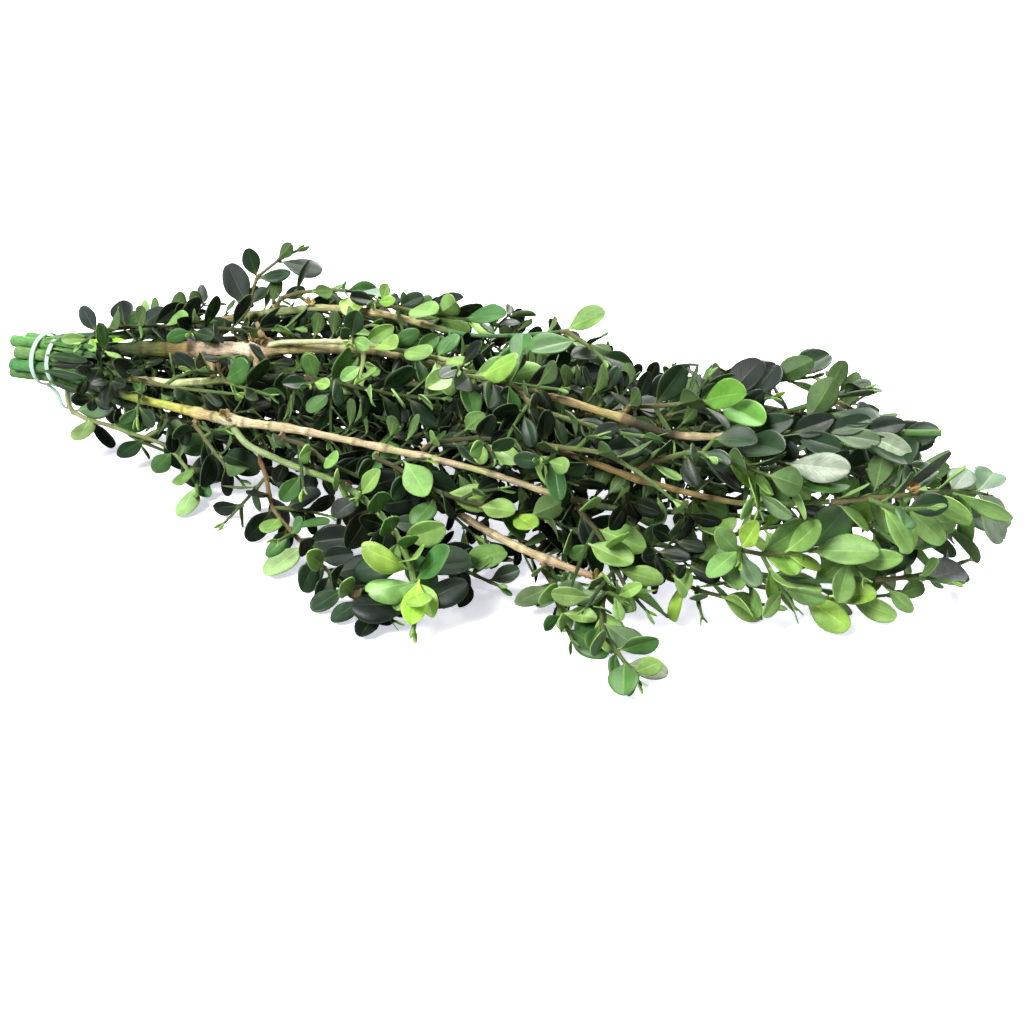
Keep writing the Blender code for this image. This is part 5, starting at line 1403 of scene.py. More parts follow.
def stub_skin(skin, foot, end, half):
    """A short broken side shoot."""
    foot, end = Vector(foot), Vector(end)
    way = (end - foot).normalized()
    u = across(Vector((0, 0, 1)), way)
    rings = []
    for k in range(8):
        share = k / 7
        size = half * (1.35 - 0.5 * share + 0.12 * math.sin(k * 2.3))
        rings.append(Ring(foot.lerp(end, share), u, way.cross(u), way, size))
    shades = [STUB_WOOD * (1 - 0.06 * k) for k in range(8)]
    tube_skin(skin, rings, ROUND, shades, ends=(None, PALE_WOOD))


# ---------------------------------------------------------------- twigs
TWIG_TINTS = {
    "stem_01_spray_2": (linear(244, 240, 204), linear(170, 180, 112)),
    "stem_03_spray_2": (linear(160, 180, 122), linear(126, 160, 80)),
    "stem_05_spray_1": (linear(164, 164, 116), linear(140, 166, 100)),
    "stem_04_spray_1": (linear(150, 116, 80), linear(104, 124, 66)),
    "stem_08_spray_3": (linear(176, 150, 120), linear(88, 110, 66)),
}
USUAL_TWIG = (linear(128, 112, 74), linear(104, 138, 72))
INNER_SHADE = 0.45
TWIG_GIRTH = {"stem_03_spray_2": 1.5, "stem_01_spray_2": 1.25, "stem_05_spray_1": 1.15}


def twig_skin(wood, leaves, twig, tints, rng, cover, slim=1.0):
    """A twig, its side twigs and its leaves, as far as they have grown."""
    collars = [twig.rings[k + 1] for k in twig.collars]
    rings = finer(twig.rings, 3.2)
    total = max(len(rings) - 1, 1)
    shaped, colors = [], []
    for k, ring in enumerate(rings):
        near = min([(ring.middle - c.middle).length for c in collars] or [9.0])
        swell = 1.0 + 0.28 * math.exp(-(near / 1.3) ** 2)
        shaped.append(ring._replace(half=ring.half * swell * slim * 0.9))
        share = k / total
        color = tints[0] * (1 - share) + tints[1] * share
        colors.append(color * (1 - 0.2 * math.exp(-(near / 0.9) ** 2)))
    last = shaped[-1]
    for reach, size in ((0.45, 0.85), (0.85, 0.5), (1.0, 0.12)):
        middle = last.middle + last.tangent * BUD * reach
        shaped.append(last._replace(middle=middle, half=last.half * size))
        colors.append(tints[1] * 0.9)
    tube_skin(wood, shaped, FOUR_ANGLED, colors)
    tip_leaves(leaves, twig, rng)
    for grown in twig.growth.values():
        if isinstance(grown, Twig):
            twig_skin(wood, leaves, grown, (tints[1] * 0.9 + tints[0] * 0.1, tints[1]), rng,
                      cover, slim * 0.85)
        elif grown:
            middle = leaf_middle(grown)
            tone = grown.tone or usual_tone(middle, cover.over(middle), rng)
            blade_skin(leaves, grown, look_of(tone, rng))


def leaf_middle(leaf):
    return leaf.base + leaf.axis * leaf.length * BLADE_MIDDLE


def leaves_of(twig):
    """Every leaf of a spray."""
    grown = [item for branch in branches_of(twig) for item in branch.growth.values()]
    return [item for item in grown if isinstance(item, Leaf)]


def bud_scales(leaves, point, way, rng, count=4, size=2.0, tones="b"):
    """Dry scales around the foot of a shoot."""
    start = across(Vector((0, 0, 1)), way)
    for k in range(count):
        turn = math.tau * (k + rng.uniform(0, 0.7)) / count
        out = start * math.cos(turn) + way.cross(start) * math.sin(turn)
        axis = (way * rng.uniform(0.5, 1.3) + out * rng.uniform(0.5, 1.0)).normalized()
        length = size * rng.uniform(0.7, 1.25)
        base = point + out * rng.uniform(0.5, 0.9) * size * 0.4 + way * rng.uniform(-0.6, 0.8)
        leaf = Leaf((), 0, base, axis, across(out, axis), length, length * 0.6, length * 0.1)
        blade_skin(leaves, leaf, look_of(rng.choice(tones), rng), SMALL)


def tip_leaves(leaves, twig, rng):
    """The pair of small unfolding leaves around a twig's bud."""
    last = twig.rings[-1]
    for sign in (-1, 1):
        length = rng.uniform(4.5, 7.5)
        way = (last.tangent + last.u * sign * rng.uniform(0.25, 0.6)).normalized()
        normal = across(last.tangent - last.u * sign, way)
        base = last.middle + last.tangent * 0.4
        leaf = Leaf((), 0, base, way, normal, length, length * 0.42, -length * 0.08)
        blade_skin(leaves, leaf, look_of(rng.choice("lymml"), rng), SMALL)


# ---------------------------------------------------------------- short shoots inside the bunch
SHOOT_STEP = 4.2
SHOOT_LEAF = 15.0
VIEW_WAY = Vector((0.32, -0.85, 0.42))       # towards the viewer
CLEAR_FRONT = ("stem_01", "stem_03", "stem_08")
SHOOT_GIRTH = 0.62
LEAFY_TO = -165.0         # up to this X they get less of the painted shade
LIT_FROM = 50.0           # and from this height they are lighter, as painted light
# shoot leaf tones: near-black painted shade deep inside, lighter painted light high near the tie
SHOOT_TONES = {"deep": "nnnnnnkkkd", "low": "nkkkkkd", "lit": "dmmmlly"}
SHOOTS_FROM = -187.0
SHOOTS_TO = {"stem_09": 168, "stem_10": 168, "stem_11": 160}
USUAL_SHOOTS_TO = 128.0
LOW_STEMS = ("stem_04", "stem_05")


def shoot_on(stem, path, rings, s, space, rng):
    """A short leafy shoot straight from a stem, or nothing if there is no room."""
    middle, along = path.point(s), path.tangent(s)
    near = min(rings, key=lambda r: (r.middle - middle).length)
    for _ in range(10):
        turn = rng.uniform(0, math.tau)
        out = near.u * math.cos(turn) + near.v * math.sin(turn)
        out = across(out, along)
        if stem.name in CLEAR_FRONT and out.dot(VIEW_WAY) > -0.1:
            continue
        if stem.name in LOW_STEMS and middle.x < 40 and out.z < 0.2:
            continue
        foot = middle + out * (near.half + GAP)
        length = rng.uniform(9, 17)
        way = (out + along * rng.uniform(0.3, 0.9)).normalized()
        path_out = Path(smooth((foot, foot + out * 2.5, foot + way * length), CURVE_STEP))
        twig = plan_twig(path_out, out, along, 4.5, SHOOT_LEAF, 6.0)
        if twig_is_clear(twig, space, stem.name):
            return twig
    return None


def plan_shoots(stems, space):
    """Short shoots along every stem, wherever they and their leaves find room."""
    shoots = {}
    for stem, (path, rings) in zip(STEMS, stems):
        rng = random.Random(stem.name + " shoots")
        found = shoots.setdefault(stem.name, [])
        s = path.length_at_x(SHOOTS_FROM)
        last = path.length_at_x(SHOOTS_TO.get(stem.name, USUAL_SHOOTS_TO))
        while s < min(path.length - 6, last):
            twig = shoot_on(stem, path, rings, s, space, rng)
            if twig:
                owner = "%s shoot %d" % (stem.name, len(found))
                add_twig(twig, space, owner)
                for branch, collar, side in list(free_faces([twig])):
                    branch.growth[collar, side] = grow_leaf(branch, collar, side, space, owner, rng)
                if any(twig.growth.values()):
                    found.append(twig)
            s += SHOOT_STEP * rng.uniform(0.7, 1.3)
    return shoots


# ---------------------------------------------------------------- leaves along the tied end
# X of the foot, angle around the bundle, length, width and tone
TIE_LEAVES = (
    (-196, 100, 24, 6.4, "Y"), (-215, 118, 31, 5.2, "m"), (-213, 150, 30, 5.0, "d"),
    (-216, 184, 28, 4.8, "d"), (-213, 168, 32, 5.4, "k"), (-214, 210, 27, 5.0, "d"),
    (-216, 236, 24, 4.8, "m"), (-213, 225, 30, 5.2, "g"), (-214, 62, 26, 5.0, "m"),
    (-212, 40, 27, 5.2, "m"), (-216, 104, 24, 4.6, "g"), (-208, 132, 30, 5.4, "m"),
    (-214, 255, 25, 5.0, "m"), (-210, 285, 26, 5.2, "m"), (-215, 320, 24, 5.0, "m"),
    (-212, 10, 27, 5.2, "m"), (-205, 160, 26, 5.0, "d"), (-203, 195, 28, 5.6, "k"),
    (-214, 88, 29, 5.0, "d"), (-204, 74, 26, 5.6, "m"), (-206, 176, 22, 4.6, "m"),
)
TIE_REACH = 12.7          # how far from the bundle's middle they start


def tie_leaf_skin(skin):
    """Narrow leaves that hug the bundle just beyond its band."""
    rng = random.Random("tie leaves")
    for x, angle, length, width, tone in TIE_LEAVES:
        turn = math.radians(angle)
        out = Vector((0.0, math.cos(turn), math.sin(turn)))
        base = Vector((x, 0.0, TIE_HEIGHT)) + out * TIE_REACH
        axis = (Vector((1.0, 0.0, 0.0)) + out * rng.uniform(0.08, 0.2)
                + Vector((0.0, 0.0, rng.uniform(-0.05, 0.05)))).normalized()
        leaf = Leaf((), 0, base, axis, across(out, axis), length, width, length * 0.03)
        blade_skin(skin, leaf, look_of(tone, rng))


# leaf pairs along the bare end of the first stem: X, tilt, length, tone
END_LEAVES = (
    (143, 22, 19, "d"), (145, -24, 20, "k"), (157, 14, 19, "k"), (159, -17, 20, "d"),
    (171, 18, 18, "d"), (173, -12, 19, "g"), (184, 15, 17, "k"), (186, -27, 19, "s"),
)


def end_leaf_skin(skin, path, rings):
    """Leaves in pairs, nearly along the stem and in front of it."""
    rng = random.Random("end leaves")
    for x, tilt, length, tone in END_LEAVES:
        s = path.length_at_x(x)
        middle, along = path.point(s), path.tangent(s)
        front = across(VIEW_WAY, along)
        up = along.cross(front) * -1
        tilt = math.radians(tilt)
        half = min(rings, key=lambda r: (r.middle - middle).length).half
        axis = (along * math.cos(tilt) + up * math.sin(tilt) + front * 0.16).normalized()
        base = middle + front * half * 0.9
        leaf = Leaf((), 0, base, axis, across(front, axis), length, length * 0.5, length * 0.05)
        blade_skin(skin, leaf, look_of(tone, rng))


# young leaves along the bare end of the rosette's twig: tilt, length and tone
ROSETTE_OF = "stem_03_spray_2"
ROSETTE = ((-27, 16, "y"), (30, 15, "l"), (3, 19, "Y"))
ROSETTE_BACK = 18.0


def rosette_skin(skin, twig):
    """Leaves that lie along the end of a twig, on the viewer's side of it."""
    rng = random.Random("rosette")
    last = twig.rings[-1]
    front = across(VIEW_WAY, last.tangent)
    side = last.tangent.cross(front)
    for number, (tilt, length, tone) in enumerate(ROSETTE):
        tilt = math.radians(tilt)
        way = last.tangent * math.cos(tilt) + side * math.sin(tilt) + front * 0.1
        axis = way.normalized()
        base = last.middle - last.tangent * ROSETTE_BACK + front * (1.5 + 0.8 * number)
        leaf = Leaf((), 0, base, axis, across(front, axis), length, length * 0.62, length * 0.08)
        blade_skin(skin, leaf, look_of(tone, rng))


# clusters of dry scales on old nodes: middle, way, count, size, tones
CLUSTERS = (
    ((-101, 3, 61), (0.2, -0.3, 1.0), 12, 4.2, "bb"),
    ((-91, -46, 43), (0.3, -0.6, 0.7), 9, 3.0, "b"),
    ((95, -88, 17), (0.5, -0.6, 0.4), 11, 3.4, "bbr"),
    ((205, -60, 60), (0.5, -0.5, 0.7), 12, 3.0, "rrb"),
    ((100, -22, 68), (0.4, -0.4, 0.8), 8, 3.2, "bbr"),
    ((10, -122, 9), (0.1, -0.5, 0.8), 6, 3.0, "b"),
    ((40, -68, 50), (0.4, -0.6, 0.6), 7, 3.0, "b"),
    ((-86, 29, 73), (0.2, -0.5, 0.8), 7, 3.0, "b"),
    ((-112, -7, 50), (0.4, -0.5, -0.7), 5, 5.5, "r"),
    ((-99, -6, 50), (0.6, -0.4, -0.7), 7, 6.0, "rrb"),
)


# ---------------------------------------------------------------- rubber band
BAND_SIDES = 12
BAND_FINE = 3             # rings between two points of its route
MINT, WORN_MINT = linear(196, 232, 208), linear(150, 190, 168)


def band_route():
    """Two turns around the bundle, and the spare loop hanging between them."""
    start_x, end_x = BAND_TURNS_X
    centre = Vector((0, 0, TIE_HEIGHT))

    def on_band(x, degrees, radius=BAND_RADIUS):
        turn = math.radians(degrees)
        return Vector((x, math.cos(turn) * radius, centre.z + math.sin(turn) * radius))

    steps = range(0, 331, 15)
    first = [on_band(start_x, -75 + s) for s in steps]
    second = [on_band(end_x, -75 + s) for s in steps]
    low = TIE_HEIGHT - BAND_RADIUS - BAND_LOOP_DROP
    third = (end_x - start_x) / 3
    loop = [(end_x - third * 1.7, -1.5, low + 9), (end_x - third * 1.0, -1.5, low + 3),
            (end_x - third * 0.7, 1.5, low), (end_x - third * 0.8, 5.5, low + 3),
            (end_x - third * 1.0, 6.5, low + 9)]
    back = [on_band(end_x - third, -93), on_band(start_x + third, -87)]
    return first + [Vector(p) for p in loop] + second + back


def band_skin(skin):
    """A flat band with rounded edges, a little uneven, wound twice with a hanging loop."""
    route = band_route()
    section = []
    for k in range(BAND_SIDES):
        turn = math.tau * k / BAND_SIDES
        a, b = math.cos(turn), math.sin(turn)
        section.append((math.copysign(abs(a) ** 0.6, a) * BAND_WIDTH / 2,
                        math.copysign(abs(b) ** 0.8, b) * BAND_THICK / 2))
    middles = []
    for k in range(len(route)):
        near = [route[(k + j - 1) % len(route)] for j in range(4)]
        middles += [curve(*near, j / BAND_FINE) for j in range(BAND_FINE)]
    total = len(middles)
    points, colors, faces = [], [], []
    for k, point in enumerate(middles):
        tangent = (middles[(k + 1) % total] - middles[k - 1]).normalized()
        wide = across(Vector((1, 0, 0)), tangent)
        out = tangent.cross(wide)
        for a, b in section:
            points.append(point + wide * a * (1 + 0.06 * wobble(k * 0.5, 2)) + out * b)
        share = 0.5 + 0.5 * wobble(k * 0.23, 5)
        colors += [MINT * (1 - 0.5 * share) + WORN_MINT * 0.5 * share] * BAND_SIDES
        faces += walls(k * BAND_SIDES, (k + 1) % total * BAND_SIDES, BAND_SIDES)
    skin.add(np.array(points), faces, [False] * len(faces), np.array(colors))


# ---------------------------------------------------------------- materials
class Nodes:
    """A node tree, with short names for what this script adds to it."""

    def __init__(self, tree):
        self.tree = tree

    def node(self, kind, inputs=(), **settings):
        made = self.tree.nodes.new(kind)
        for key, value in settings.items():
            setattr(made, key, value)
        for key, value in dict(inputs).items():
            self.put(value, made.inputs[key])
        return made

    def put(self, value, socket):
        if isinstance(value, bpy.types.NodeSocket):
            self.tree.links.new(value, socket)
        else:
            socket.default_value = value

    def attribute(self, name):
        return self.node("ShaderNodeAttribute", attribute_name=name)

    def split(self, vector):
        return self.node("ShaderNodeSeparateXYZ", {0: vector}).outputs

    def math(self, operation, *values):
        inputs = {k: value for k, value in enumerate(values)}
        return self.node("ShaderNodeMath", inputs, operation=operation).outputs[0]

    def ramp(self, value, low, high, to_low=0.0, to_high=1.0):
        """A value carried smoothly from one range to another."""
        made = self.node("ShaderNodeMapRange", interpolation_type="SMOOTHSTEP")
        for key, item in zip(("Value", "From Min", "From Max", "To Min", "To Max"),
                             (value, low, high, to_low, to_high)):
            self.put(item, made.inputs[key])
        return made.outputs[0]

    def noise(self, vector, scale, detail=3.0, rough=0.55):
        made = self.node("ShaderNodeTexNoise", {"Vector": vector, "Scale": scale,
                                                "Detail": detail, "Roughness": rough})
        return made.outputs[0]

    def mix(self, share, a, b, blend="MIX"):
        made = self.node("ShaderNodeMix", data_type="RGBA", blend_type=blend)
        self.put(share, made.inputs[0])
        self.put(a, made.inputs[6])
        self.put(b, made.inputs[7])
        return made.outputs[2]

    def gray(self, value):
        return self.node("ShaderNodeCombineColor", {0: value, 1: value, 2: value}).outputs[0]

    def times(self, color, other):
        """A colour multiplied by another one."""
        return self.mix(1.0, color, other, "MULTIPLY")

    def scaled(self, vector, scale):
        made = self.node("ShaderNodeVectorMath", {0: vector, 1: scale}, operation="MULTIPLY")
        return made.outputs[0]

    def unless_seen(self, shader, seen):
        """One shader for all light, another where the camera looks straight at the surface."""
        direct = self.node("ShaderNodeLightPath").outputs["Is Camera Ray"]
        made = self.node("ShaderNodeMixShader", {0: direct, 1: shader.outputs[0],
                                                 2: seen.outputs[0]})
        return made.outputs[0]


class Shader(Nodes):
    """The nodes of a new material."""

    def __init__(self, name):
        self.material = bpy.data.materials.new(name)
        self.material.use_nodes = True
        super().__init__(self.material.node_tree)
        self.main = self.tree.nodes["Principled BSDF"]

    def bump(self, height, strength, distance):
        made = self.node("ShaderNodeBump", {"Height": height, "Strength": strength,
                                            "Distance": distance})
        self.put(made.outputs[0], self.main.inputs["Normal"])


def rgba(color):
    return tuple(float(c) for c in color) + (1.0,)


def leaf_material():
    """Waxy green with a pale rib, faint side veins, a thin pale margin and a dull underside."""
    sh = Shader("boxwood_leaf")
    tint = sh.attribute("tint")
    s, reach, under = sh.split(sh.attribute("part").outputs["Vector"])
    along, side, gloss = sh.split(sh.attribute("place").outputs["Vector"])
    where = sh.node("ShaderNodeTexCoord").outputs["Object"]
    off = sh.math("ABSOLUTE", side)
    rib = sh.math("MULTIPLY", sh.ramp(off, 0.08, 0.42, 1.0, 0.0), sh.ramp(s, 0.5, 1.0, 1.0, 0.15))
    slant = sh.math("SUBTRACT", along, sh.math("MULTIPLY", off, 1.25))
    warp = sh.math("MULTIPLY", sh.noise(where, 220.0, 1.0), 2.4)
    wave = sh.math("SINE", sh.math("ADD", sh.math("MULTIPLY", slant, 4.6), warp))
    vein = sh.math("MULTIPLY", sh.ramp(wave, 0.55, 1.0), sh.ramp(reach, 0.02, 0.3))
    cloud = sh.noise(where, 120.0, 3.0)
    grain = sh.noise(where, 900.0, 2.0)
    tone = sh.math("MULTIPLY", sh.ramp(cloud, 0.3, 0.7, 0.78, 1.22),
                   sh.ramp(grain, 0.3, 0.7, 0.94, 1.06))
    color = sh.times(tint.outputs["Color"], sh.gray(tone))
    # painted sheen: the silvery reflection painted into some leaves is broken by greener streaks
    streak_at = sh.node("ShaderNodeCombineXYZ", {0: slant, 1: sh.math("MULTIPLY", off, 0.3)})
    streak = sh.math("MULTIPLY", sh.ramp(sh.noise(streak_at.outputs[0], 0.8, 3.0), 0.35, 0.7),
                     tint.outputs["Alpha"])
    color = sh.mix(sh.math("MULTIPLY", streak, 0.45), color, rgba(STREAK_GREEN))
    paler = sh.mix(0.12, sh.times(color, rgba((1.9, 1.7, 1.7))), rgba(PALE_VEIN))
    edge = sh.math("MULTIPLY", sh.ramp(reach, 0.93, 1.0), sh.ramp(s, 0.1, 0.3))
    for share, strength in ((vein, 0.16), (rib, 0.6), (edge, 0.32)):
        color = sh.mix(sh.math("MULTIPLY", share, strength), color, paler)
    sh.put(color, sh.main.inputs["Base Color"])
    dull = sh.ramp(under, 0.0, 1.0, 0.41, 0.62)
    rough = sh.math("ADD", dull, sh.ramp(cloud, 0.3, 0.7, -0.05, 0.09))
    sh.put(rough, sh.main.inputs["Roughness"])
    height = sh.math("ADD", sh.math("MULTIPLY", vein, -0.22), sh.math("MULTIPLY", grain, 0.5))
    height = sh.math("ADD", height, sh.math("MULTIPLY", cloud, 0.8))
    sh.bump(height, 0.35, 0.0003)
    sh.put(sh.math("MULTIPLY", gloss, 0.42), sh.main.inputs["Specular IOR Level"])
    return sh.material


def bark_material():
    """Streaked bark with green and brown patches and dark flecks, grained along the wood."""
    sh = Shader("boxwood_bark")
    tint = sh.attribute("tint")
    place = sh.attribute("place").outputs["Vector"]
    where = sh.node("ShaderNodeTexCoord").outputs["Object"]
    streak = sh.noise(sh.scaled(place, (0.16, 3.2, 3.2)), 1.0, 4.0, 0.7)
    fleck = sh.noise(sh.scaled(place, (0.9, 2.2, 2.2)), 1.0, 3.0)
    patch = sh.noise(where, 70.0, 2.0)
    green = sh.noise(where, 45.0, 2.0)
    tone = sh.math("MULTIPLY", sh.ramp(streak, 0.3, 0.7, 0.62, 1.3),
                   sh.ramp(fleck, 0.3, 0.7, 0.86, 1.12))
    color = sh.times(tint.outputs["Color"], sh.gray(tone))
    worn = sh.math("MULTIPLY", sh.ramp(patch, 0.54, 0.66), sh.ramp(streak, 0.4, 0.6))
    for share, strength, cast in ((sh.ramp(green, 0.5, 0.62), 0.55, (0.72, 0.95, 0.55)),
                                  (worn, 0.65, (0.64, 0.54, 0.4)),
                                  (sh.ramp(fleck, 0.62, 0.7), 0.75, (0.34, 0.28, 0.24))):
        stained = sh.times(color, rgba(cast))
        color = sh.mix(sh.math("MULTIPLY", share, strength), color, stained)
    sh.put(color, sh.main.inputs["Base Color"])
    sh.put(sh.ramp(streak, 0.3, 0.7, 0.6, 0.8), sh.main.inputs["Roughness"])
    sh.bump(sh.math("ADD", streak, sh.math("MULTIPLY", fleck, 0.6)), 0.9, 0.0007)
    return sh.material


def band_material():
    """Soft mint rubber, faintly mottled and dusty."""
    sh = Shader("mint_rubber")
    where = sh.node("ShaderNodeTexCoord").outputs["Object"]
    cloud = sh.noise(where, 300.0, 3.0)
    tone = sh.ramp(cloud, 0.3, 0.7, 0.9, 1.06)
    sh.put(sh.times(sh.attribute("tint").outputs["Color"], sh.gray(tone)),
           sh.main.inputs["Base Color"])
    sh.put(sh.ramp(cloud, 0.3, 0.7, 0.4, 0.56), sh.main.inputs["Roughness"])
    sh.bump(sh.noise(where, 2200.0, 2.0), 0.25, 0.0002)
    return sh.material


# ---------------------------------------------------------------- pieces
MATERIALS = {"leaf": "boxwood_leaf", "bark": "boxwood_bark", "band": "mint_rubber"}


def finish_piece(skin, name, slot, shift, node=None):
    made = skin.make(name, bpy.data.materials[MATERIALS[slot]], shift)
    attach(made, "root")
    if node:
        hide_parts(node)


def plan_shift(rings):
    """How far the CAD frame lies from the plan, found from the first stem."""
    corners = [p for ring in rings for p in hexagon(ring)]
    low = Space.box(corners)[0]
    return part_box(STEMS[0].name)[0] / MM - Vector(low)


def build_pieces():
    for material in (leaf_material, bark_material, band_material):
        material()
    stems, twigs, space = plan_bunch()
    shift = plan_shift(stems[0][1])
    build_stems(stems, twigs, shift)
    build_sprays(twigs, shift)
    build_shoots(stems, space, shift)
    build_loose_leaves(stems, twigs, shift)
    skin = Skin()
    band_skin(skin)
    finish_piece(skin, "rubber_band_wound", "band", shift, "rubber_band")
    return shift


def build_stems(stems, twigs, shift):
    feet = {}
    for spray, twig in zip(SPRAYS, twigs):
        if spray.base is not TIP:
            feet.setdefault(spray.stem, []).append(twig.rings[0].middle)
    for number, (stem, (_, rings)) in enumerate(zip(STEMS, stems)):
        skin = Skin()
        stem_skin(skin, stem, rings, feet.get(number + 1, ()))
        if number == 0:
            for foot, end, half in STUBS:
                stub_skin(skin, foot, end, half)
        finish_piece(skin, stem.name + "_bark", "bark", shift, stem.name)


def build_sprays(twigs, shift):
    cover = Cover([leaf_middle(leaf) for twig in twigs for leaf in leaves_of(twig)])
    for spray, twig in zip(SPRAYS, twigs):
        rng = random.Random(spray.name)
        wood, leaves = Skin(), Skin()
        tints = TWIG_TINTS.get(spray.name, USUAL_TWIG)
        if cover.over(twig.rings[-1].middle) > 1 and spray.name not in TWIG_TINTS:
            tints = [tint * INNER_SHADE for tint in tints]
        twig_skin(wood, leaves, twig, tints, rng, cover, TWIG_GIRTH.get(spray.name, 1.0))
        if spray.base is not TIP:
            bud_scales(leaves, twig.rings[0].middle, twig.rings[0].tangent, rng)
        finish_piece(leaves, spray.name + "_leaves", "leaf", shift, spray.name)
        finish_piece(wood, spray.name + "_twig", "bark", shift, spray.name)


def build_shoots(stems, space, shift):
    for name, shoots in plan_shoots(stems, space).items():
        rng = random.Random(name + " leaves")
        wood, leaves = Skin(), Skin()
        for twig in shoots:
            shoot_skin(wood, leaves, twig, rng)
        if shoots:
            finish_piece(leaves, name + "_shoot_leaves", "leaf", shift)
            finish_piece(wood, name + "_shoots", "bark", shift)


def build_loose_leaves(stems, twigs, shift):
    skin = Skin()
    tie_leaf_skin(skin)
    end_leaf_skin(skin, *stems[0])
    rosette_skin(skin, {s.name: twig for s, twig in zip(SPRAYS, twigs)}[ROSETTE_OF])
    rng = random.Random("clusters")
    for point, way, count, size, tones in CLUSTERS:
        bud_scales(skin, Vector(point), Vector(way).normalized(), rng, count, size, tones)
    finish_piece(skin, "loose_leaves", "leaf", shift)


def shoot_skin(wood, leaves, twig, rng):
    """A short shoot as far as its last leaf, and its leaves."""
    last = max(twig.collars[collar] for (collar, _), grown in twig.growth.items() if grown)
    rings = [r._replace(half=r.half * SHOOT_GIRTH) for r in finer(twig.rings[:last + 2], 5.0)]
    end = rings[-1]
    rings.append(end._replace(middle=end.middle + end.tangent * 0.8, half=end.half * 0.15))
    tube_skin(wood, rings, SEVEN_SIDED, [USUAL_TWIG[1] * INNER_SHADE] * len(rings))
    for grown in twig.growth.values():
        if grown:
            # painted shade deep in the bunch, painted light on high shoots near the tie
            place = "deep"
            if grown.base.x < LEAFY_TO:
                place = "lit" if grown.base.z > LIT_FROM else "low"
            blade_skin(leaves, grown, look_of(rng.choice(SHOOT_TONES[place]), rng), SMALL)


# ---------------------------------------------------------------- floor, light and camera
def floor_material():
    """A pale table that stays white around the shadow; painted light makes it glow more to the
    right, which pales the shadow there, and far off.
    """
    sh = Shader("pale_table")
    where = sh.node("ShaderNodeTexCoord").outputs["Object"]
    tone = sh.ramp(sh.noise(where, 3.0, 2.0), 0.3, 0.7, 0.93, 0.95)
    plain = sh.node("ShaderNodeBsdfDiffuse", {"Color": sh.gray(tone)})
    faint = sh.node("ShaderNodeBsdfDiffuse", {"Color": (0.4, 0.4, 0.42, 1.0)})
    # painted light: more glow to the right pales the shadow there
    right = sh.ramp(sh.split(where)[0], 0.02, 0.16, 0.62, 0.8)
    away = sh.node("ShaderNodeVectorMath", {0: where}, operation="LENGTH").outputs["Value"]
    bright = sh.math("ADD", right, sh.ramp(away, 0.6, 2.0, 0.0, 0.6))
    glow = sh.node("ShaderNodeEmission", {"Color": (0.9, 0.9, 1.0, 1.0), "Strength": bright})
    both = sh.node("ShaderNodeAddShader", {0: plain.outputs[0], 1: glow.outputs[0]})
    sh.put(sh.unless_seen(faint, both), sh.tree.nodes["Material Output"].inputs["Surface"])
    return sh.material


FLOOR_REACH = 6.0         # metres from the middle to an edge


def build_floor():
    mesh = bpy.data.meshes.new("floor")
    r = FLOOR_REACH
    mesh.from_pydata([(-r, -r, 0), (r, -r, 0), (r, r, 0), (-r, r, 0)], [], [(0, 1, 2, 3)])
    mesh.materials.append(floor_material())
    floor = bpy.data.objects.new("floor", mesh)
    bpy.context.scene.collection.objects.link(floor)


SKY_COLOR = (0.94, 0.95, 1.0, 1.0)
SKY_WAY = (0.0, 1.0, 0.1)               # where it is brightest
SKY_POWER = (0.14, 0.8)                 # on the near side and on the far side
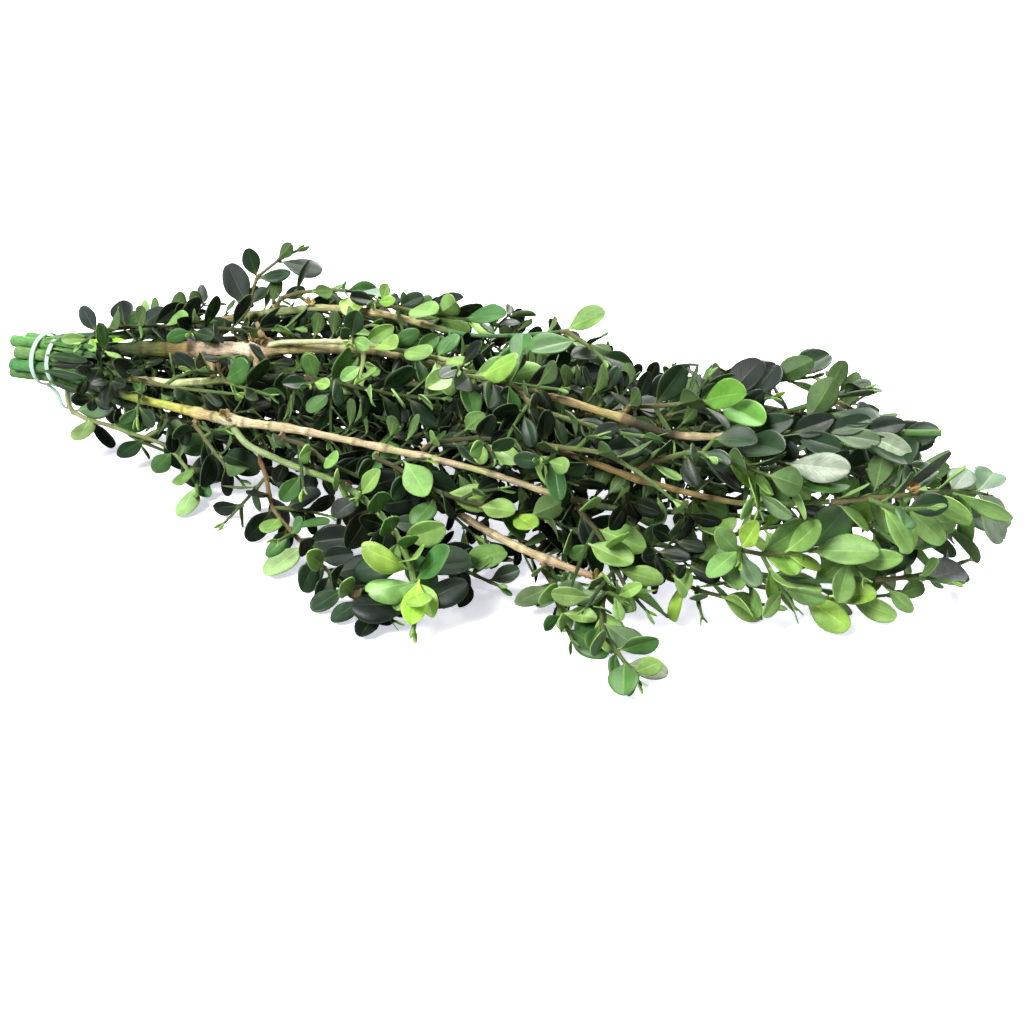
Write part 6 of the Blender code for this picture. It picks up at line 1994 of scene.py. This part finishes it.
# name, place and target in metres, width, power and colour
LAMPS = (("key", (0.45, 1.7, 2.2), (0, 0, 0), 2.0, 145.0, (1.0, 0.99, 0.96)),
         ("fill", (-0.7, -1.7, 1.8), (0, 0, 0.04), 1.2, 100.0, (1, 1, 1)))


def area_light(name, place, target, size, power, color):
    data = bpy.data.lights.new(name, "AREA")
    data.shape = "DISK"
    data.size = size
    data.energy = power
    data.color = color
    made = bpy.data.objects.new(name, data)
    made.location = place
    made.rotation_mode = "QUATERNION"
    made.rotation_quaternion = (Vector(target) - Vector(place)).to_track_quat("-Z", "Y")
    bpy.context.scene.collection.objects.link(made)


def build_light():
    """A pale world, brighter at the back and white to the camera, and two lamps."""
    world = bpy.data.worlds.new("studio")
    bpy.context.scene.world = world
    world.use_nodes = True
    nodes = Nodes(world.node_tree)
    back = nodes.tree.nodes["Background"]
    nodes.put(SKY_COLOR, back.inputs["Color"])
    way = nodes.node("ShaderNodeTexCoord").outputs["Generated"]
    lean = nodes.node("ShaderNodeVectorMath", {0: way, 1: SKY_WAY}, operation="DOT_PRODUCT")
    nodes.put(nodes.ramp(lean.outputs["Value"], 0.0, 0.9, *SKY_POWER), back.inputs["Strength"])
    white = nodes.node("ShaderNodeBackground", {"Color": (1.0, 1.0, 1.0, 1.0)})
    nodes.put(nodes.unless_seen(back, white), nodes.tree.nodes["World Output"].inputs["Surface"])
    for lamp in LAMPS:
        area_light(*lamp)


# the camera, as a scratch script found it from the two ends of the bunch in the photo
LENS, SENSOR = 52.0, 36.0
CAMERA_AT = (242.87, -573.21, 280.99)   # millimetres of the plan
CAMERA_TILT, CAMERA_TURN = 65.0, 20.61


def build_camera(shift):
    """A view from the front right and above, at the photograph's angle."""
    data = bpy.data.cameras.new("camera")
    data.lens = LENS
    data.sensor_width = SENSOR
    made = bpy.data.objects.new("camera", data)
    made.location = (Vector(CAMERA_AT) + shift) * MM
    made.rotation_euler = (math.radians(CAMERA_TILT), 0.0, math.radians(CAMERA_TURN))
    bpy.context.scene.collection.objects.link(made)
    bpy.context.scene.camera = made


def main():
    bpy.context.scene.view_settings.view_transform = "Standard"
    shift = build_pieces()
    build_floor()
    build_light()
    build_camera(shift)
    bpy.context.view_layer.update()


main()
